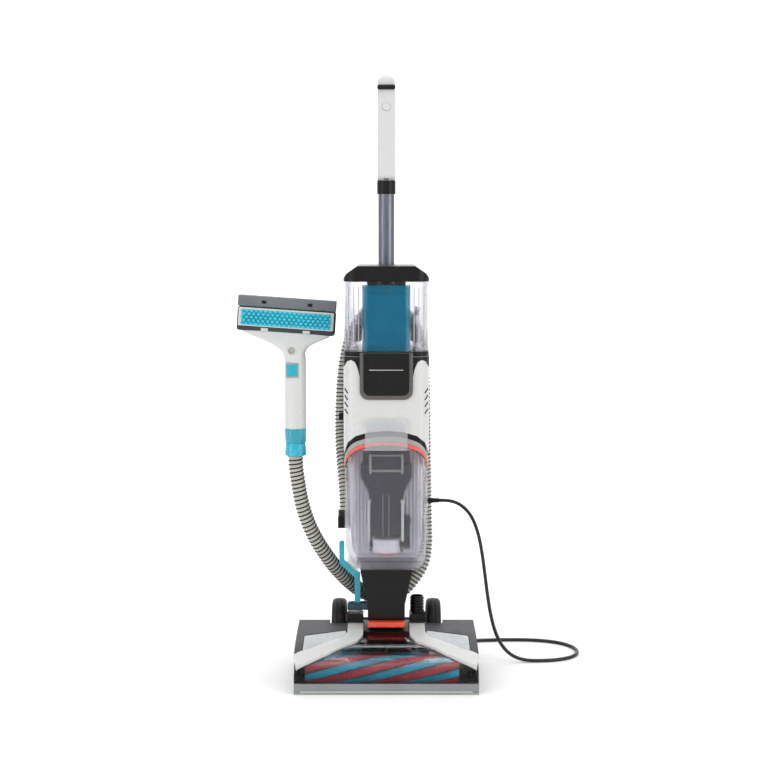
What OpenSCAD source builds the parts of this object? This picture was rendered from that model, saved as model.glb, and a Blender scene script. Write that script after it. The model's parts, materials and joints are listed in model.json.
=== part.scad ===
// Upright carpet cleaner with a hose-fed hand tool. The lip of the cleaning head faces -Y.

/* [Cleaning head] */
// Width of the cleaning head
head_w = 340; // [300:5:400]
// Depth of the cleaning head, from lip to back wall
head_d = 225; // [215:5:280]
// Wall of the clear hood and the covers
skin = 2.6; // [2:0.2:4]
// Radius of the brush roll over its bristles
brush_r = 27; // [22:1:28]
// Pitch of the ribs in the suction lip
lip_pitch = 37; // [25:1:50]
// Radius of the wheels
wheel_r = 58; // [50:1:60]
// Width of each wheel
wheel_w = 29; // [20:1:34]
// Radius of the wheel axle
axle_r = 5; // [4:0.5:6]
// Radius of the recline hinge pin
hinge_r = 6; // [5:0.5:8]

/* [Upright body] */
// Width of the upright body
body_w = 162; // [150:2:190]
// Depth of the upright body
body_d = 195; // [180:5:215]
// Height of the dirty tank at its sides
dirty_h = 225; // [180:5:270]
// Height of the white casing between the tanks
casing_h = 182; // [180:2:220]
// Height of the clean tank
clean_h = 130; // [110:5:160]
// Wall of the tanks
tank_wall = 2.5; // [2:0.25:4]
// Width of the tinted solution tank
solution_w = 90; // [70:2:110]
// Wall of the white casing
casing_wall = 3; // [2:0.5:4]

/* [Handle] */
// Height of the whole cleaner
total_h = 1150; // [1050:10:1300]
// Outer radius of the pole
pole_r = 16; // [13:0.5:18]
// Length of the grip
grip_l = 205; // [180:5:260]

/* [Hand tool and hose] */
// Outer radius of the ribbed hose
hose_r = 15; // [12:0.5:16]
// Width of the hand tool's head
tool_w = 188; // [140:2:200]
// Radius of the hand tool's handle
tool_r = 21; // [18:0.5:24]
// Radius of the power cord
cord_r = 3.5; // [3:0.25:4.5]

/* [Fits] */
// Radial clearance of a shaft in its bore
run_gap = 0.05; // [0.03:0.01:0.1]
// Gap between pieces that come apart
part_gap = 0.6; // [0.4:0.1:1]

/* [Hidden] */
$fn = 48;

// Cleaning head, seen from its side as Y and Z
head_x = head_w / 2;
lip_y = -165;
back_y = lip_y + head_d;
lip_h = 20;
crown_z = 82;
head_top = [[0, lip_h], [6, 36], [18, 50], [36, 62], [58, 69], [95, 75], [150, 80], [head_d - 4, crown_z],
    [head_d, crown_z - 8]];
side_wall = 4;
floor_t = 4;
brush_y = lip_y + 52;
brush_z = brush_r + 4;
core_r = 17;
shaft_r = 4;
belt_x = head_x - 26;
pulley_r = 12;
motor_y = brush_y + 75;
motor_z = 36;
motor_pulley_r = 6;
hinge_y = 75;
hinge_z = 70;
axle_y = 90;
wheel_in = 79;
wheel_out = wheel_in + wheel_w;
ear_in = 51;
ear_out = 59;

// Upright body, standing on its neck
body_x = body_w / 2;
body_front = -45;
body_back = body_front + body_d;
body_round = 28;
tank_back = 52;
dirty_z = 205;
arch_z = dirty_z + dirty_h;
arch_rise = 42;
arch_top = arch_z + arch_rise;
tray_t = 10;
seal_t = 10;
lid_t = 9.4;
casing_top = arch_z + casing_h;
tray_top = casing_top + 9;
clean_z = tray_top + part_gap;
cap_z = clean_z + clean_h + part_gap;
cap_h = 29;
clean_back = 96;
spine_x = 60;
spine_front = 55;
mast_x = 38;
pole_y = 124;
collar_z = total_h - grip_l - 26;
grip_z = total_h - grip_l;
grip_x = 17.5;
motor_r = 44;
fan_r = 38;
button_z = total_h - 62;
trigger_z = total_h - 50;

// Hand tool, standing on the end of the hose
tool_x = -175;
tool_y = 20;
tool_z = 416;
tool_tilt = 3.9;

// Middle line of the hose: clipped behind the body, then free up to the hand tool
carried_route = [[-80, 130, 288.2], [-80, 130, 294], [-81, 133, 320], [-84, 142, 360], [-88, 156, 405], [-90, 167, 450],
    [-89, 168, 500], [-86, 168, 550], [-79, 168, 600], [-66, 168, 645], [-44, 168, 678], [-15, 168, 693],
    [15, 168, 692], [42, 168, 676], [61, 168, 645], [70, 168, 605], [74, 168, 550], [75, 168, 490],
    [76, 168, 430], [77, 166, 370], [78, 160, 310], [79, 150, 255], [79, 138, 215], [72, 124, 180],
    [54, 113, 152], [34, 106, 131], [10, 102, 120], [-14, 101, 117]];
free_route = [[-14.2, 101, 117], [-17.2, 100.9, 116.6], [-32, 98, 121], [-48, 91, 131], [-63, 81, 144], [-78, 70, 160], [-93, 59, 179],
    [-108, 48, 200], [-122, 38, 223], [-136, 30, 248], [-148, 25, 274], [-158, 22, 302], [-165, 20, 330],
    [-170, 20, 359], [-174, 20, 388], [-175, 20, 404], [-175, 20, 415.8]];
// Middle line of the power cord, down to the floor and round behind the head
cord_route = [[104, 90, 315], [120, 90, 315], [136, 90, 312], [152, 89, 303], [166, 87, 288], [177, 84, 266],
    [185, 80, 238], [191, 75, 204], [196, 70, 165], [201, 64, 126], [207, 58, 90], [216, 52, 57], [230, 47, 30],
    [250, 43, 12], [275, 41, 4.5], [302, 41, 3.5], [330, 45, 3.5], [357, 57, 3.5], [377, 78, 3.5],
    [385, 106, 3.5], [380, 136, 3.5], [362, 162, 3.5], [334, 180, 3.5], [298, 189, 3.5], [256, 191, 3.5],
    [210, 188, 3.5], [160, 181, 3.5], [110, 173, 3.5], [60, 166, 3.5], [4, 163.4, 3.5]];
tail_route = [[-66.7, 228, 10], [-68, 244, 9], [-74, 258, 7], [-86, 266, 6], [-99, 262, 6], [-107, 250, 7],
    [-110, 234, 9], [-110, 212, 10]];
coil_at = [0, 230];
coil_in = 35;
coil_out = 63;
coil_h = 29;
gland = cord_route[0];

// Half of the clear hood's edge, as offsets from the middle and from the lip
hood_edge = [[44, 141], [45, 116], [56, 88], [112, 38], [146, 21], [167, 13]];
arm_edge = [[75, 131], [82, 106], [114, 80], [141, 55], [161, 46], [172, 36]];

// Side view (Y, Z) drawn along X, and front view (X, Z) drawn along Y
module along_x(x0, x1) translate([x0, 0, 0]) rotate([90, 0, 90]) linear_extrude(x1 - x0) children();
module along_y(y0, y1) translate([0, y1, 0]) rotate([90, 0, 0]) linear_extrude(y1 - y0) children();
module block(x, y, z) translate([x[0], y[0], z[0]]) cube([x[1] - x[0], y[1] - y[0], z[1] - z[0]]);
module rod_x(x0, x1, y, z, r) translate([x0, y, z]) rotate([0, 90, 0]) cylinder(r = r, h = x1 - x0);
module rod_y(y0, y1, x, z, r) translate([x, y0, z]) rotate([-90, 0, 0]) cylinder(r = r, h = y1 - y0);

// Ends of a head plan point: widths grow with the head, depths stay at the lip
function head_point(p, side) = [side * (p[0] > 100 ? p[0] - 170 + head_x : p[0]), lip_y + p[1]];
function edge(list, side) = [for (p = list) head_point(p, side)];

// Smooth tube through hand-chosen points
function direction(p, i) = let (a = p[max(i - 1, 0)], b = p[min(i + 1, len(p) - 1)]) (b - a) / norm(b - a);
function sideways(t) = let (s = cross(t, abs(t[2]) > 0.9 ? [0, 1, 0] : [0, 0, 1])) s / norm(s);
function carry(s, t) = let (q = s - t * (s * t)) q / norm(q);
function frames(p, i, s) = i == len(p) ? [] : let (t = direction(p, i), u = carry(s, t))
    concat([[u, cross(t, u)]], frames(p, i + 1, u));
module swept(p, r, sides) {
    f = frames(p, 0, sideways(direction(p, 0)));
    points = [for (i = [0 : len(p) - 1]) for (k = [0 : sides - 1])
        p[i] + r * (cos(360 * k / sides) * f[i][0] + sin(360 * k / sides) * f[i][1])];
    last = (len(p) - 1) * sides;
    walls = [for (i = [0 : len(p) - 2]) for (k = [0 : sides - 1])
        let (n = (k + 1) % sides, a = i * sides)
        each [[a + k, a + sides + n, a + n], [a + k, a + sides + k, a + sides + n]]];
    ends = [[for (k = [0 : sides - 1]) k], [for (k = [sides - 1 : -1 : 0]) last + k]];
    polyhedron(points, concat(walls, ends), convexity = 10);
}

module head_outline() polygon(concat([[back_y, 0], [lip_y, 0]], [for (p = head_top) [lip_y + p[0], p[1]]]));
// A piece of the head's curved top, over a plan shape
module head_skin(thick, lift = 0) intersection() {
    along_x(-head_x - 5, head_x + 5) difference() {
        offset(delta = lift) head_outline();
        offset(delta = -thick) head_outline();
    }
    translate([0, 0, lip_h + 1]) linear_extrude(100) children();
}
module hood_plan() offset(delta = -part_gap) polygon(concat([[-head_x + 1, lip_y - 1]],
    [for (i = [5 : -1 : 0]) head_point(hood_edge[i], -1)], edge(hood_edge, 1), [[head_x - 1, lip_y - 1]]));
module arm_plan(side) polygon(concat([[side * 44, 43]], edge(hood_edge, side),
    [for (i = [5 : -1 : 0]) head_point(arm_edge[i], side)], [[side * 75, 43]]));
module window_plan(side) offset(delta = -0.3) polygon(concat([head_point([78, 152], side)],
    [for (i = [0 : 3]) head_point(arm_edge[i], side)], [head_point([157, 50], side), head_point([157, 124], side)]));
module cover_plan(side) offset(delta = -0.3) polygon(concat([[side * 75, back_y]], edge(arm_edge, side),
    [[side * (head_x + 2), back_y]]));

// Room for the wheels in the back of the head
module wheel_wells() for (s = [-1, 1])
    rod_x(s < 0 ? -wheel_out - 3 : wheel_in - 3, s < 0 ? -wheel_in + 3 : wheel_out + 3, axle_y, wheel_r, wheel_r + 3);

module chassis() color("#2b2a2b") difference() {
    union() {
        for (s = [-1, 1]) intersection() {
            along_x(s < 0 ? -head_x : head_x - side_wall, s < 0 ? -head_x + side_wall : head_x)
                offset(delta = -skin - 0.4) difference() { head_outline(); translate([-200, -20]) square([38, 60]); }
            block([-400, 400], [-400, 400], [2.99, 200]);
        }
        for (s = [-1, 1]) block([s < 0 ? -head_x : head_x - side_wall, s < 0 ? -head_x + side_wall : head_x],
            [lip_y + 5, back_y], [0, 10]);
        block([-head_x + 3, head_x - 3], [brush_y + 38, back_y], [0, floor_t]);
        block([-head_x + 3, head_x - 3], [brush_y + 34, brush_y + 38], [0, 60]);
        block([-head_x + 3, head_x - 3], [lip_y + 17, lip_y + 20], [0, 17]);
        block([-head_x + 3, head_x - 3], [back_y - skin - 4.4, back_y - skin - 0.4], [0, crown_z - 14]);
        for (s = [-1, 1]) along_x(s < 0 ? -ear_out : ear_in, s < 0 ? -ear_in : ear_out) hull() {
            translate([hinge_y, hinge_z]) circle(14, $fn = 32);
            translate([axle_y, wheel_r]) circle(12, $fn = 32);
            translate([back_y - 3, 4]) square([3, 60]);
        }
    }
    rod_x(-70, 70, hinge_y, hinge_z, hinge_r + run_gap);
    rod_x(-70, 70, axle_y, wheel_r, axle_r + run_gap);
    rod_x(-head_x - 1, head_x + 1, brush_y, brush_z, 12 + run_gap);
    wheel_wells();
    block([belt_x - 6, belt_x + 6], [brush_y + 30, brush_y + 42], [10, 56]);
}

module front_lip() color("#c9ccca") {
    block([-head_x, head_x], [lip_y, lip_y + 4], [0, lip_h]);
    ribs = floor((head_w - 20) / lip_pitch / 2) * 2;
    for (i = [0 : ribs - 1]) translate([(i - (ribs - 1) / 2) * lip_pitch - 0.9, lip_y + 4, 2])
        cube([1.8, 4.4, lip_h - 4]);
}

module side_cover(side) difference() {
    head_skin(skin) cover_plan(side);
    translate([0, 0, lip_h]) linear_extrude(100) offset(delta = 0.6) window_plan(side);
    wheel_wells();
}
module left_cover() color("#4b4b4e") side_cover(-1);
module right_cover() color("#4b4b4e") side_cover(1);
module cover_windows() color("#969b9e") for (s = [-1, 1]) head_skin(skin, -0.8) window_plan(s);
module left_arm() color("#dedfdd") head_skin(skin, 4) offset(delta = -0.3) arm_plan(-1);
module right_arm() color("#dedfdd") head_skin(skin, 4) offset(delta = -0.3) arm_plan(1);

module hinge_covers() color("#191616") {
    difference() {
        head_skin(skin) union() {
            translate([-43.4, lip_y + 142]) square([86.8, head_d - 142]);
            translate([-74.4, 43.6]) square([148.8, back_y - 43.6]);
        }
        for (s = [-1, 1]) block([s < 0 ? -ear_out - 0.6 : ear_in - 0.6, s < 0 ? -ear_in + 0.6 : ear_out + 0.6],
            [back_y - 6, back_y + 1], [0, hinge_z + 20]);
    }
    for (s = [-1, 1]) along_y(18, 54) polygon([[s * 45, crown_z + 5], [s * 45, 100], [s * 50, 104],
        [s * 72, 104], [s * 77, 98], [s * 77, crown_z + 5]]);
}
module suction_bellows() color("#191616") translate([60, 36, 104]) difference() {
    union() {
        cylinder(r = 12, h = 32);
        for (i = [0 : 4]) translate([0, 0, 2 + i * 6]) cylinder(r = 14.5, h = 3);
    }
    translate([0, 0, 3]) cylinder(r = 9.5, h = 40);
}

module hinge_pin() color("silver") rod_x(-ear_out - 2, ear_out + 2, hinge_y, hinge_z, hinge_r);
module wheel_axle() color("silver") rod_x(-wheel_out - 2, wheel_out + 2, axle_y, wheel_r, axle_r);

module wheel(x) difference() {
    translate([x, axle_y, wheel_r]) rotate([0, 90, 0]) rotate_extrude($fn = 96)
        polygon([[8, 0], [24, 0], [26, 6], [44, 6], [46, 0], [wheel_r - 8, 0], [wheel_r - 2.5, 3],
            [wheel_r, 9], [wheel_r, wheel_w - 9], [wheel_r - 2.5, wheel_w - 3], [wheel_r - 8, wheel_w],
            [46, wheel_w], [44, wheel_w - 6], [26, wheel_w - 6], [24, wheel_w], [8, wheel_w]]);
    rod_x(x - 1, x + wheel_w + 1, axle_y, wheel_r, axle_r + run_gap);
}
module hub(x) difference() {
    rod_x(x, x + wheel_w, axle_y, wheel_r, 8.1);
    rod_x(x - 1, x + wheel_w + 1, axle_y, wheel_r, axle_r + run_gap);
}
module left_wheel() color("#171717") union() { wheel(-wheel_out); hub(-wheel_out); }
module right_wheel() color("#171717") union() { wheel(wheel_in); hub(wheel_in); }

// Brush roll, its bearings and its belt drive
roll_end = head_x - side_wall - 14;
module brush_bearings() color("#333333") for (s = [-1, 1]) difference() {
    rod_x(s < 0 ? -head_x + 0.5 : head_x - side_wall - 8, s < 0 ? -head_x + side_wall + 8 : head_x - 0.5,
        brush_y, brush_z, 12);
    rod_x(-head_x - 1, head_x + 1, brush_y, brush_z, shaft_r + run_gap);
}
module brush_core() color("#20242a") {
    rod_x(-roll_end, belt_x - 6, brush_y, brush_z, core_r);
    rod_x(belt_x - 5.9, belt_x + 6, brush_y, brush_z, pulley_r);
    rod_x(-head_x + 2, head_x - 2, brush_y, brush_z, shaft_r);
}
strip_l = roll_end + belt_x - 8;
strip_count = 5;
module bristle_strips(first) translate([-roll_end + 1, brush_y, brush_z]) rotate([0, 90, 0])
    for (i = [0 : strip_count - 1]) rotate(first + 360 / strip_count * i)
        linear_extrude(strip_l, twist = 170, slices = 16, segments = 1, $fn = 0)
            polygon(concat([for (a = [-11 : 5.5 : 11]) (core_r + 0.4) * [cos(a), sin(a)]],
                [[brush_r - 0.4, 3.6], [brush_r, 0], [brush_r - 0.4, -3.6]]));
module teal_bristles() color("#0c8ba5") bristle_strips(0);
module red_bristles() color("#a83237") bristle_strips(180 / strip_count);
module brush_motor() color("#6a6d70") difference() {
    rod_x(belt_x - 102, belt_x - 12, motor_y, motor_z, 24);
    rod_x(belt_x - 40, belt_x, motor_y, motor_z, 3 + run_gap);
}
module motor_pulley() color("silver") {
    rod_x(belt_x - 38, belt_x + 6, motor_y, motor_z, 3);
    rod_x(belt_x - 5, belt_x + 5, motor_y, motor_z, motor_pulley_r);
}
module drive_belt() color("#101010") along_x(belt_x - 4, belt_x + 4) difference() {
    hull() {
        translate([brush_y, brush_z]) circle(pulley_r + 2.3, $fn = 32);
        translate([motor_y, motor_z]) circle(motor_pulley_r + 2.3, $fn = 32);
    }
    hull() {
        translate([brush_y, brush_z]) circle(pulley_r + 0.35, $fn = 32);
        translate([motor_y, motor_z]) circle(motor_pulley_r + 0.35, $fn = 32);
    }
}
module spray_bar() color("#b9bdc0") {
    rod_x(-110, 90, brush_y + 31, 66, 3);
    for (x = [-96 : 48 : 72]) translate([x, brush_y + 31, 57]) cylinder(r1 = 1.5, r2 = 3, h = 8);
}
module base_screws() color("silver") for (x = [-140, -70, 70, 140]) translate([x, 30, floor_t]) {
    cylinder(r = 4, h = 2.5);
}

module hood() color("#c3c6cf", 0.4) head_skin(skin) hood_plan();
module release_button() color("#f0412a") along_y(-21, -4) offset(3, $fn = 32)
    polygon([[-33, crown_z + 7], [-33, crown_z + 12], [33, crown_z + 12], [33, crown_z + 7]]);

// Power cord, coiled up behind the head
module cord_run() color("#101010") {
    swept(cord_route, cord_r, 8);
    swept(tail_route, cord_r, 8);
}
module cord_coil() color("#101010") translate([coil_at[0], coil_at[1], 0]) rotate_extrude($fn = 64)
    polygon([[coil_in + 3, 0], [coil_out - 3, 0], [coil_out, 3], [coil_out, coil_h - 8],
        [coil_out - 6, coil_h], [coil_in + 6, coil_h], [coil_in, coil_h - 8], [coil_in, 3]]);
module power_plug() color("#151515") translate([tail_route[7][0], 0, 0]) {
    along_y(172, 212) translate([0, 11]) offset(4, $fn = 32) square([16, 14], center = true);
    for (side = [-1, 1]) translate([side * 6.35 - 0.8, 155, 8.5]) cube([1.6, 20, 6.5]);
}

// Upright: plan of the body, and the arch between casing and dirty tank
module body_plan(inset = 0, back = body_back) intersection() {
    offset(delta = -inset) translate([0, (body_front + body_back) / 2])
        offset(body_round, $fn = 64) square([body_w - 2 * body_round, body_d - 2 * body_round], center = true);
    translate([-200, body_front - 50]) square([400, back - inset - body_front + 50]);
}
module prism(z0, z1) translate([0, 0, z0]) linear_extrude(z1 - z0) children();
module arch(drop, inset = 0) offset(4, $fn = 32) offset(-4) polygon([for (p = [[-1, -dirty_h - 20], [-1, -5], [-0.9, 19],
    [-0.72, 32], [-0.4, 39.5], [0, arch_rise], [0.4, 39.5], [0.72, 32], [0.9, 19], [1, -5], [1, -dirty_h - 20]])
    [p[0] * (body_x - inset), arch_z + p[1] - drop]]);
module arch_band(drop0, drop1, inset) intersection() {
    along_y(body_front - 1, tank_back) difference() {
        arch(drop0, inset);
        arch(drop1, inset - 3);
    }
    prism(arch_z - 60, arch_top + 5) body_plan(inset, tank_back);
}

module neck() color("#191616") difference() {
    union() {
        along_y(0, 66) polygon([[-50, dirty_z - 1], [-50, 190], [-36, 126], [-36, 92], [36, 92], [36, 126],
            [50, 190], [50, dirty_z - 1]]);
        block([-36, 36], [60, hinge_y], [hinge_z, 100]);
        rod_x(-50, 50, hinge_y, hinge_z, 12);
        block([-spine_x + 2, spine_x - 2], [tank_back - 6, 120], [192, dirty_z - 1]);
    }
    rod_x(-60, 60, hinge_y, hinge_z, hinge_r + run_gap);
    block([-30, 30], [6, 60], [112, 188]);
}
module spine() color("#26252a") {
    difference() {
        prism(dirty_z, arch_z) translate([-spine_x, spine_front]) square([2 * spine_x, body_back - spine_front]);
        prism(dirty_z + 3, arch_z + 1) translate([-spine_x + 3, spine_front + 3])
            square([2 * spine_x - 6, body_back - spine_front - 6]);
    }
    arch_band(0.3, tray_t, 0.4);
}
module casing() color("#e2e3e1") difference() {
    prism(arch_z, casing_top) body_plan();
    prism(arch_z + 3, casing_top - 3) body_plan(casing_wall);
    prism(arch_z - 1, arch_z + 4) translate([-spine_x + 8, spine_front + 8]) square([2 * spine_x - 16, 70]);
    along_y(body_front - 5, tank_back + 1) arch(0);
    for (s = [-1, 1]) for (i = [0 : 3]) translate([s * body_x, 20, casing_top - 60 - 17 * i])
        rotate([60, 0, 0]) cube([16, 14, 2.4], center = true);
}
module badge() color("#191616") along_y(body_front - 6, body_front) difference() {
    offset(5, $fn = 32) offset(-5) polygon([[-50, casing_top + 8], [-50, casing_top - 52],
        [-34, casing_top - 79], [34, casing_top - 79], [50, casing_top - 52], [50, casing_top + 8]]);
}
module tank_tray() color("#26252a") prism(casing_top, tray_top) body_plan(0.5);
module mast() color("#26252a") difference() {
    prism(tray_top, cap_z) translate([-mast_x, clean_back + 2.5]) square([2 * mast_x, body_back - clean_back - 2.5]);
    translate([0, pole_y, tray_top + 20]) cylinder(r = pole_r + run_gap, h = 200);
}
module top_cap() color("#191616") difference() {
    intersection() {
        prism(cap_z, cap_z + cap_h) body_plan();
        along_y(body_front - 1, body_back + 1) polygon([[-body_x, cap_z], [-body_x, cap_z + 6],
            [-body_x + 5, cap_z + 14], [-54, cap_z + cap_h], [54, cap_z + cap_h], [body_x - 5, cap_z + 14],
            [body_x, cap_z + 6], [body_x, cap_z]]);
    }
    translate([0, pole_y, cap_z - 1]) cylinder(r = pole_r + run_gap, h = 100);
}

// Inside the casing
motor_at = [0, 90, casing_top - 100];
module suction_motor() color("#8c8f92") translate(motor_at) difference() {
    cylinder(r = motor_r, h = 88);
    translate([0, 0, 6]) cylinder(r = motor_r - 3, h = 30);
    translate([0, 0, -1]) cylinder(r = 20, h = 8);
    translate([0, 0, 30]) cylinder(r = 4 + run_gap, h = 40);
}
module motor_fan() color("#b0b4b6") translate(motor_at) {
    translate([0, 0, 12]) cylinder(r = 4, h = 50);
    translate([0, 0, 12]) cylinder(r = fan_r, h = 2);
    for (i = [0 : 6]) rotate(360 * i / 7) translate([6, -0.8, 14]) cube([fan_r - 8, 1.6, 14]);
}
module water_pump() color("#3c4146") translate([-46, 10, casing_top - 70]) {
    cylinder(r = 17, h = 48);
    translate([0, 0, 48]) cylinder(r = 5, h = 14);
}
module control_board() color("#1f6b3a") {
    block([20, 66], [0, 1.6], [casing_top - 80, casing_top - 20]);
    block([28, 44], [1.6, 12], [casing_top - 70, casing_top - 50]);
    block([50, 60], [1.6, 16], [casing_top - 45, casing_top - 25]);
}
module cord_gland() color("#151515") translate([spine_x, gland[1], gland[2]]) rotate([0, 90, 0]) {
    cylinder(r = 9, h = 8);
    translate([0, 0, 8]) cylinder(r1 = 7, r2 = cord_r + 1.2, h = gland[0] - spine_x - 8);
}

// Hose, with the fittings that hold it
module hose_port() color("#26252a") {
    start = carried_route[0];
    block([start[0] - 17, -spine_x], [start[1] - 17, start[1] + 17], [start[2] - 34, start[2] - 12]);
    translate([start[0], start[1], start[2] - 12]) cylinder(r = hose_r + 2, h = 12);
}
module clip_z(x, z) difference() {
    block([min(x - sign(x) * 22, x + sign(x) * 6), max(x - sign(x) * 22, x + sign(x) * 6)],
        [body_back, 186], [z - 7, z + 7]);
    translate([x, 168, z - 8]) cylinder(r = hose_r + 0.5, h = 16);
}
module hose_clips() color("#26252a") {
    clip_z(-89.6, 475);
    clip_z(75, 490);
    difference() {
        block([-12, 8], [75, 119], [97, 138]);
        rod_x(-13, 9, 101.5, 118.3, hose_r + 1.4);
    }
    block([-12, 8], [66, 76], [101, 130]);
}
module carried_hose() color("#8f8f8c") swept(carried_route, hose_r, 12);
module free_hose() color("#8f8f8c") swept(free_route, hose_r, 12);

// Handle
module pole() color("#696b76") translate([0, pole_y, tray_top + 20]) difference() {
    cylinder(r = pole_r, h = collar_z + 30 - tray_top - 20);
    translate([0, 0, -1]) cylinder(r = pole_r - 2, h = 600);
}
module collar() color("#191616") translate([0, pole_y, collar_z]) difference() {
    cylinder(r = pole_r + 2.4, h = 26);
    translate([0, 0, -1]) cylinder(r = pole_r + run_gap, h = 40);
}
module grip_outline() offset(12, $fn = 48) polygon([[pole_y - 6, grip_z + 12], [pole_y + 7, grip_z + 12],
    [pole_y + 16, total_h - 12], [pole_y + 4, total_h - 12]]);
module grip() color("#dededc") difference() {
    intersection() {
        along_x(-grip_x, grip_x) grip_outline();
        along_y(0, 300) union() {
            translate([-grip_x, grip_z]) square([2 * grip_x, grip_l - grip_x]);
            translate([0, total_h - grip_x]) circle(grip_x);
        }
    }
    translate([0, pole_y, grip_z - 1]) cylinder(r = pole_r - 2.2, h = 5);
    translate([0, pole_y, grip_z - 1]) difference() { cylinder(r = pole_r + run_gap, h = 6);
        translate([0, 0, -1]) cylinder(r = pole_r - 2.3, h = 8); }
    block([-8, 8], [pole_y + 15, pole_y + 60], [trigger_z - 62, trigger_z + 4]);
    rod_x(-13, 13, pole_y + 19.5, trigger_z, 1.8 + run_gap);
    rod_y(pole_y - 30, pole_y + 4, 0, button_z, 8.3);
}
module trigger() color("#191616") {
    along_x(-7.5, 7.5) offset(1.5, $fn = 24) polygon([[pole_y + 18.5, trigger_z], [pole_y + 22, trigger_z],
        [pole_y + 29, trigger_z - 30], [pole_y + 27, trigger_z - 55], [pole_y + 24.5, trigger_z - 55],
        [pole_y + 25.5, trigger_z - 30]]);
    rod_x(-12.5, 12.5, pole_y + 19.5, trigger_z, 1.8);
}
module power_button() color("#191616") rod_y(pole_y - 13, pole_y + 1, 0, button_z, 8);
module cord_hook() color("#191616") translate([0, body_back + 0.3, cap_z + 4]) {
    rod_y(0, 14, 0, 0, 9);
    along_y(14, 18) offset(5, $fn = 32) translate([-6, -4]) square([12, 30]);
}

// Tanks
module solution_recess(g) translate([-solution_w / 2 - g, body_front - 20]) square([solution_w + 2 * g, 64 + g]);
module clean_plan(inset) offset(delta = -inset) difference() {
    body_plan(0.8, clean_back);
    solution_recess(part_gap + 0.4);
}
module clean_tank() color("#c4c4d2", 0.4) difference() {
    prism(clean_z, clean_z + clean_h) clean_plan(0);
    prism(clean_z + tank_wall, clean_z + clean_h - tank_wall) clean_plan(tank_wall);
    translate([0, 70, clean_z + clean_h - 10]) cylinder(r = 16, h = 20);
}
module solution_tank() color("#0a6f9e", 0.6) difference() {
    prism(clean_z, clean_z + clean_h - 6) translate([0, body_front + 18.5])
        offset(10, $fn = 32) square([solution_w - 20, 43 - 20], center = true);
    prism(clean_z + tank_wall, clean_z + clean_h - 6 - tank_wall) translate([0, body_front + 18.5])
        offset(10 - tank_wall, $fn = 32) square([solution_w - 20, 43 - 20], center = true);
    translate([0, body_front + 18.5, clean_z + clean_h - 14]) cylinder(r = 9, h = 20);
}
module dirty_front(inset) offset(16, $fn = 48) offset(-16) polygon([[-body_x + 1 + inset, arch_z + 30],
    [-body_x + 1 + inset, dirty_z + 60], [-body_x + 9 + inset, dirty_z + inset + 0.5],
    [body_x - 9 - inset, dirty_z + inset + 0.5], [body_x - 1 - inset, dirty_z + 60],
    [body_x - 1 - inset, arch_z + 30]]);
module dirty_tank() color("#c4c4d2", 0.4) {
    difference() {
        intersection() {
            along_y(body_front + 0.8, tank_back) intersection() {
                dirty_front(0);
                arch(tray_t + lid_t + seal_t + 1.8, 1.6);
            }
            prism(dirty_z, arch_top) body_plan(0.8, tank_back);
        }
        intersection() {
            along_y(body_front, tank_back - tank_wall) dirty_front(tank_wall);
            prism(dirty_z, arch_top + 50) body_plan(0.8 + tank_wall, tank_back - 1);
        }
    }
    for (s = [-1, 1]) difference() {
        along_x(s < 0 ? -44.5 : 40.6, s < 0 ? -40.6 : 44.5) translate([body_front - 7, arch_z + 2])
            square([8.5, 9]);
        rod_x(-50, 50, body_front - 3.6, arch_z + 7, 1.5 + run_gap);
    }
}
module tank_lid() {
    color("#f06464") difference() {
        arch_band(tray_t + lid_t + 1, tray_t + lid_t + seal_t + 0.7, 0.6);
        for (s = [-1, 1]) block([s < 0 ? -45 : 40, s < 0 ? -40 : 45], [body_front - 8, body_front + 2],
            [arch_z, arch_z + 12]);
    }
    color("#9ea79f") arch_band(tray_t + 0.6, tray_t + lid_t + 1, 0.8);
}
module inlet_duct() color("#1b2130") difference() {
    union() {
        along_y(-18, 22) polygon([[-28, dirty_z + 58], [-28, dirty_z + 143], [-35, dirty_z + 148],
            [-46, dirty_z + 172], [-46, dirty_z + 196], [-33, dirty_z + 198], [-33, arch_z + 3],
            [33, arch_z + 3], [33, dirty_z + 198], [46, dirty_z + 196], [46, dirty_z + 172],
            [35, dirty_z + 148], [28, dirty_z + 143], [28, dirty_z + 58]]);
        translate([38, 2, dirty_z + 33]) cylinder(r = 8, h = 65);
        block([28, 40], [-4, 8], [dirty_z + 90, dirty_z + 97]);
    }
    block([-24, 24], [-14, 18], [dirty_z + 50, arch_z + 20]);
}
module tank_latch() color("#d5d9da", 0.5) {
    along_x(-40, 40) polygon([[body_front - 5.6, arch_z + 5], [body_front - 5.6, arch_z + 64],
        [body_front - 3.2, arch_z + 64], [body_front - 1.6, arch_z + 10], [body_front - 1.6, arch_z + 5]]);
    rod_x(-44.4, 44.4, body_front - 3.6, arch_z + 7, 1.5);
}

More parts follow.
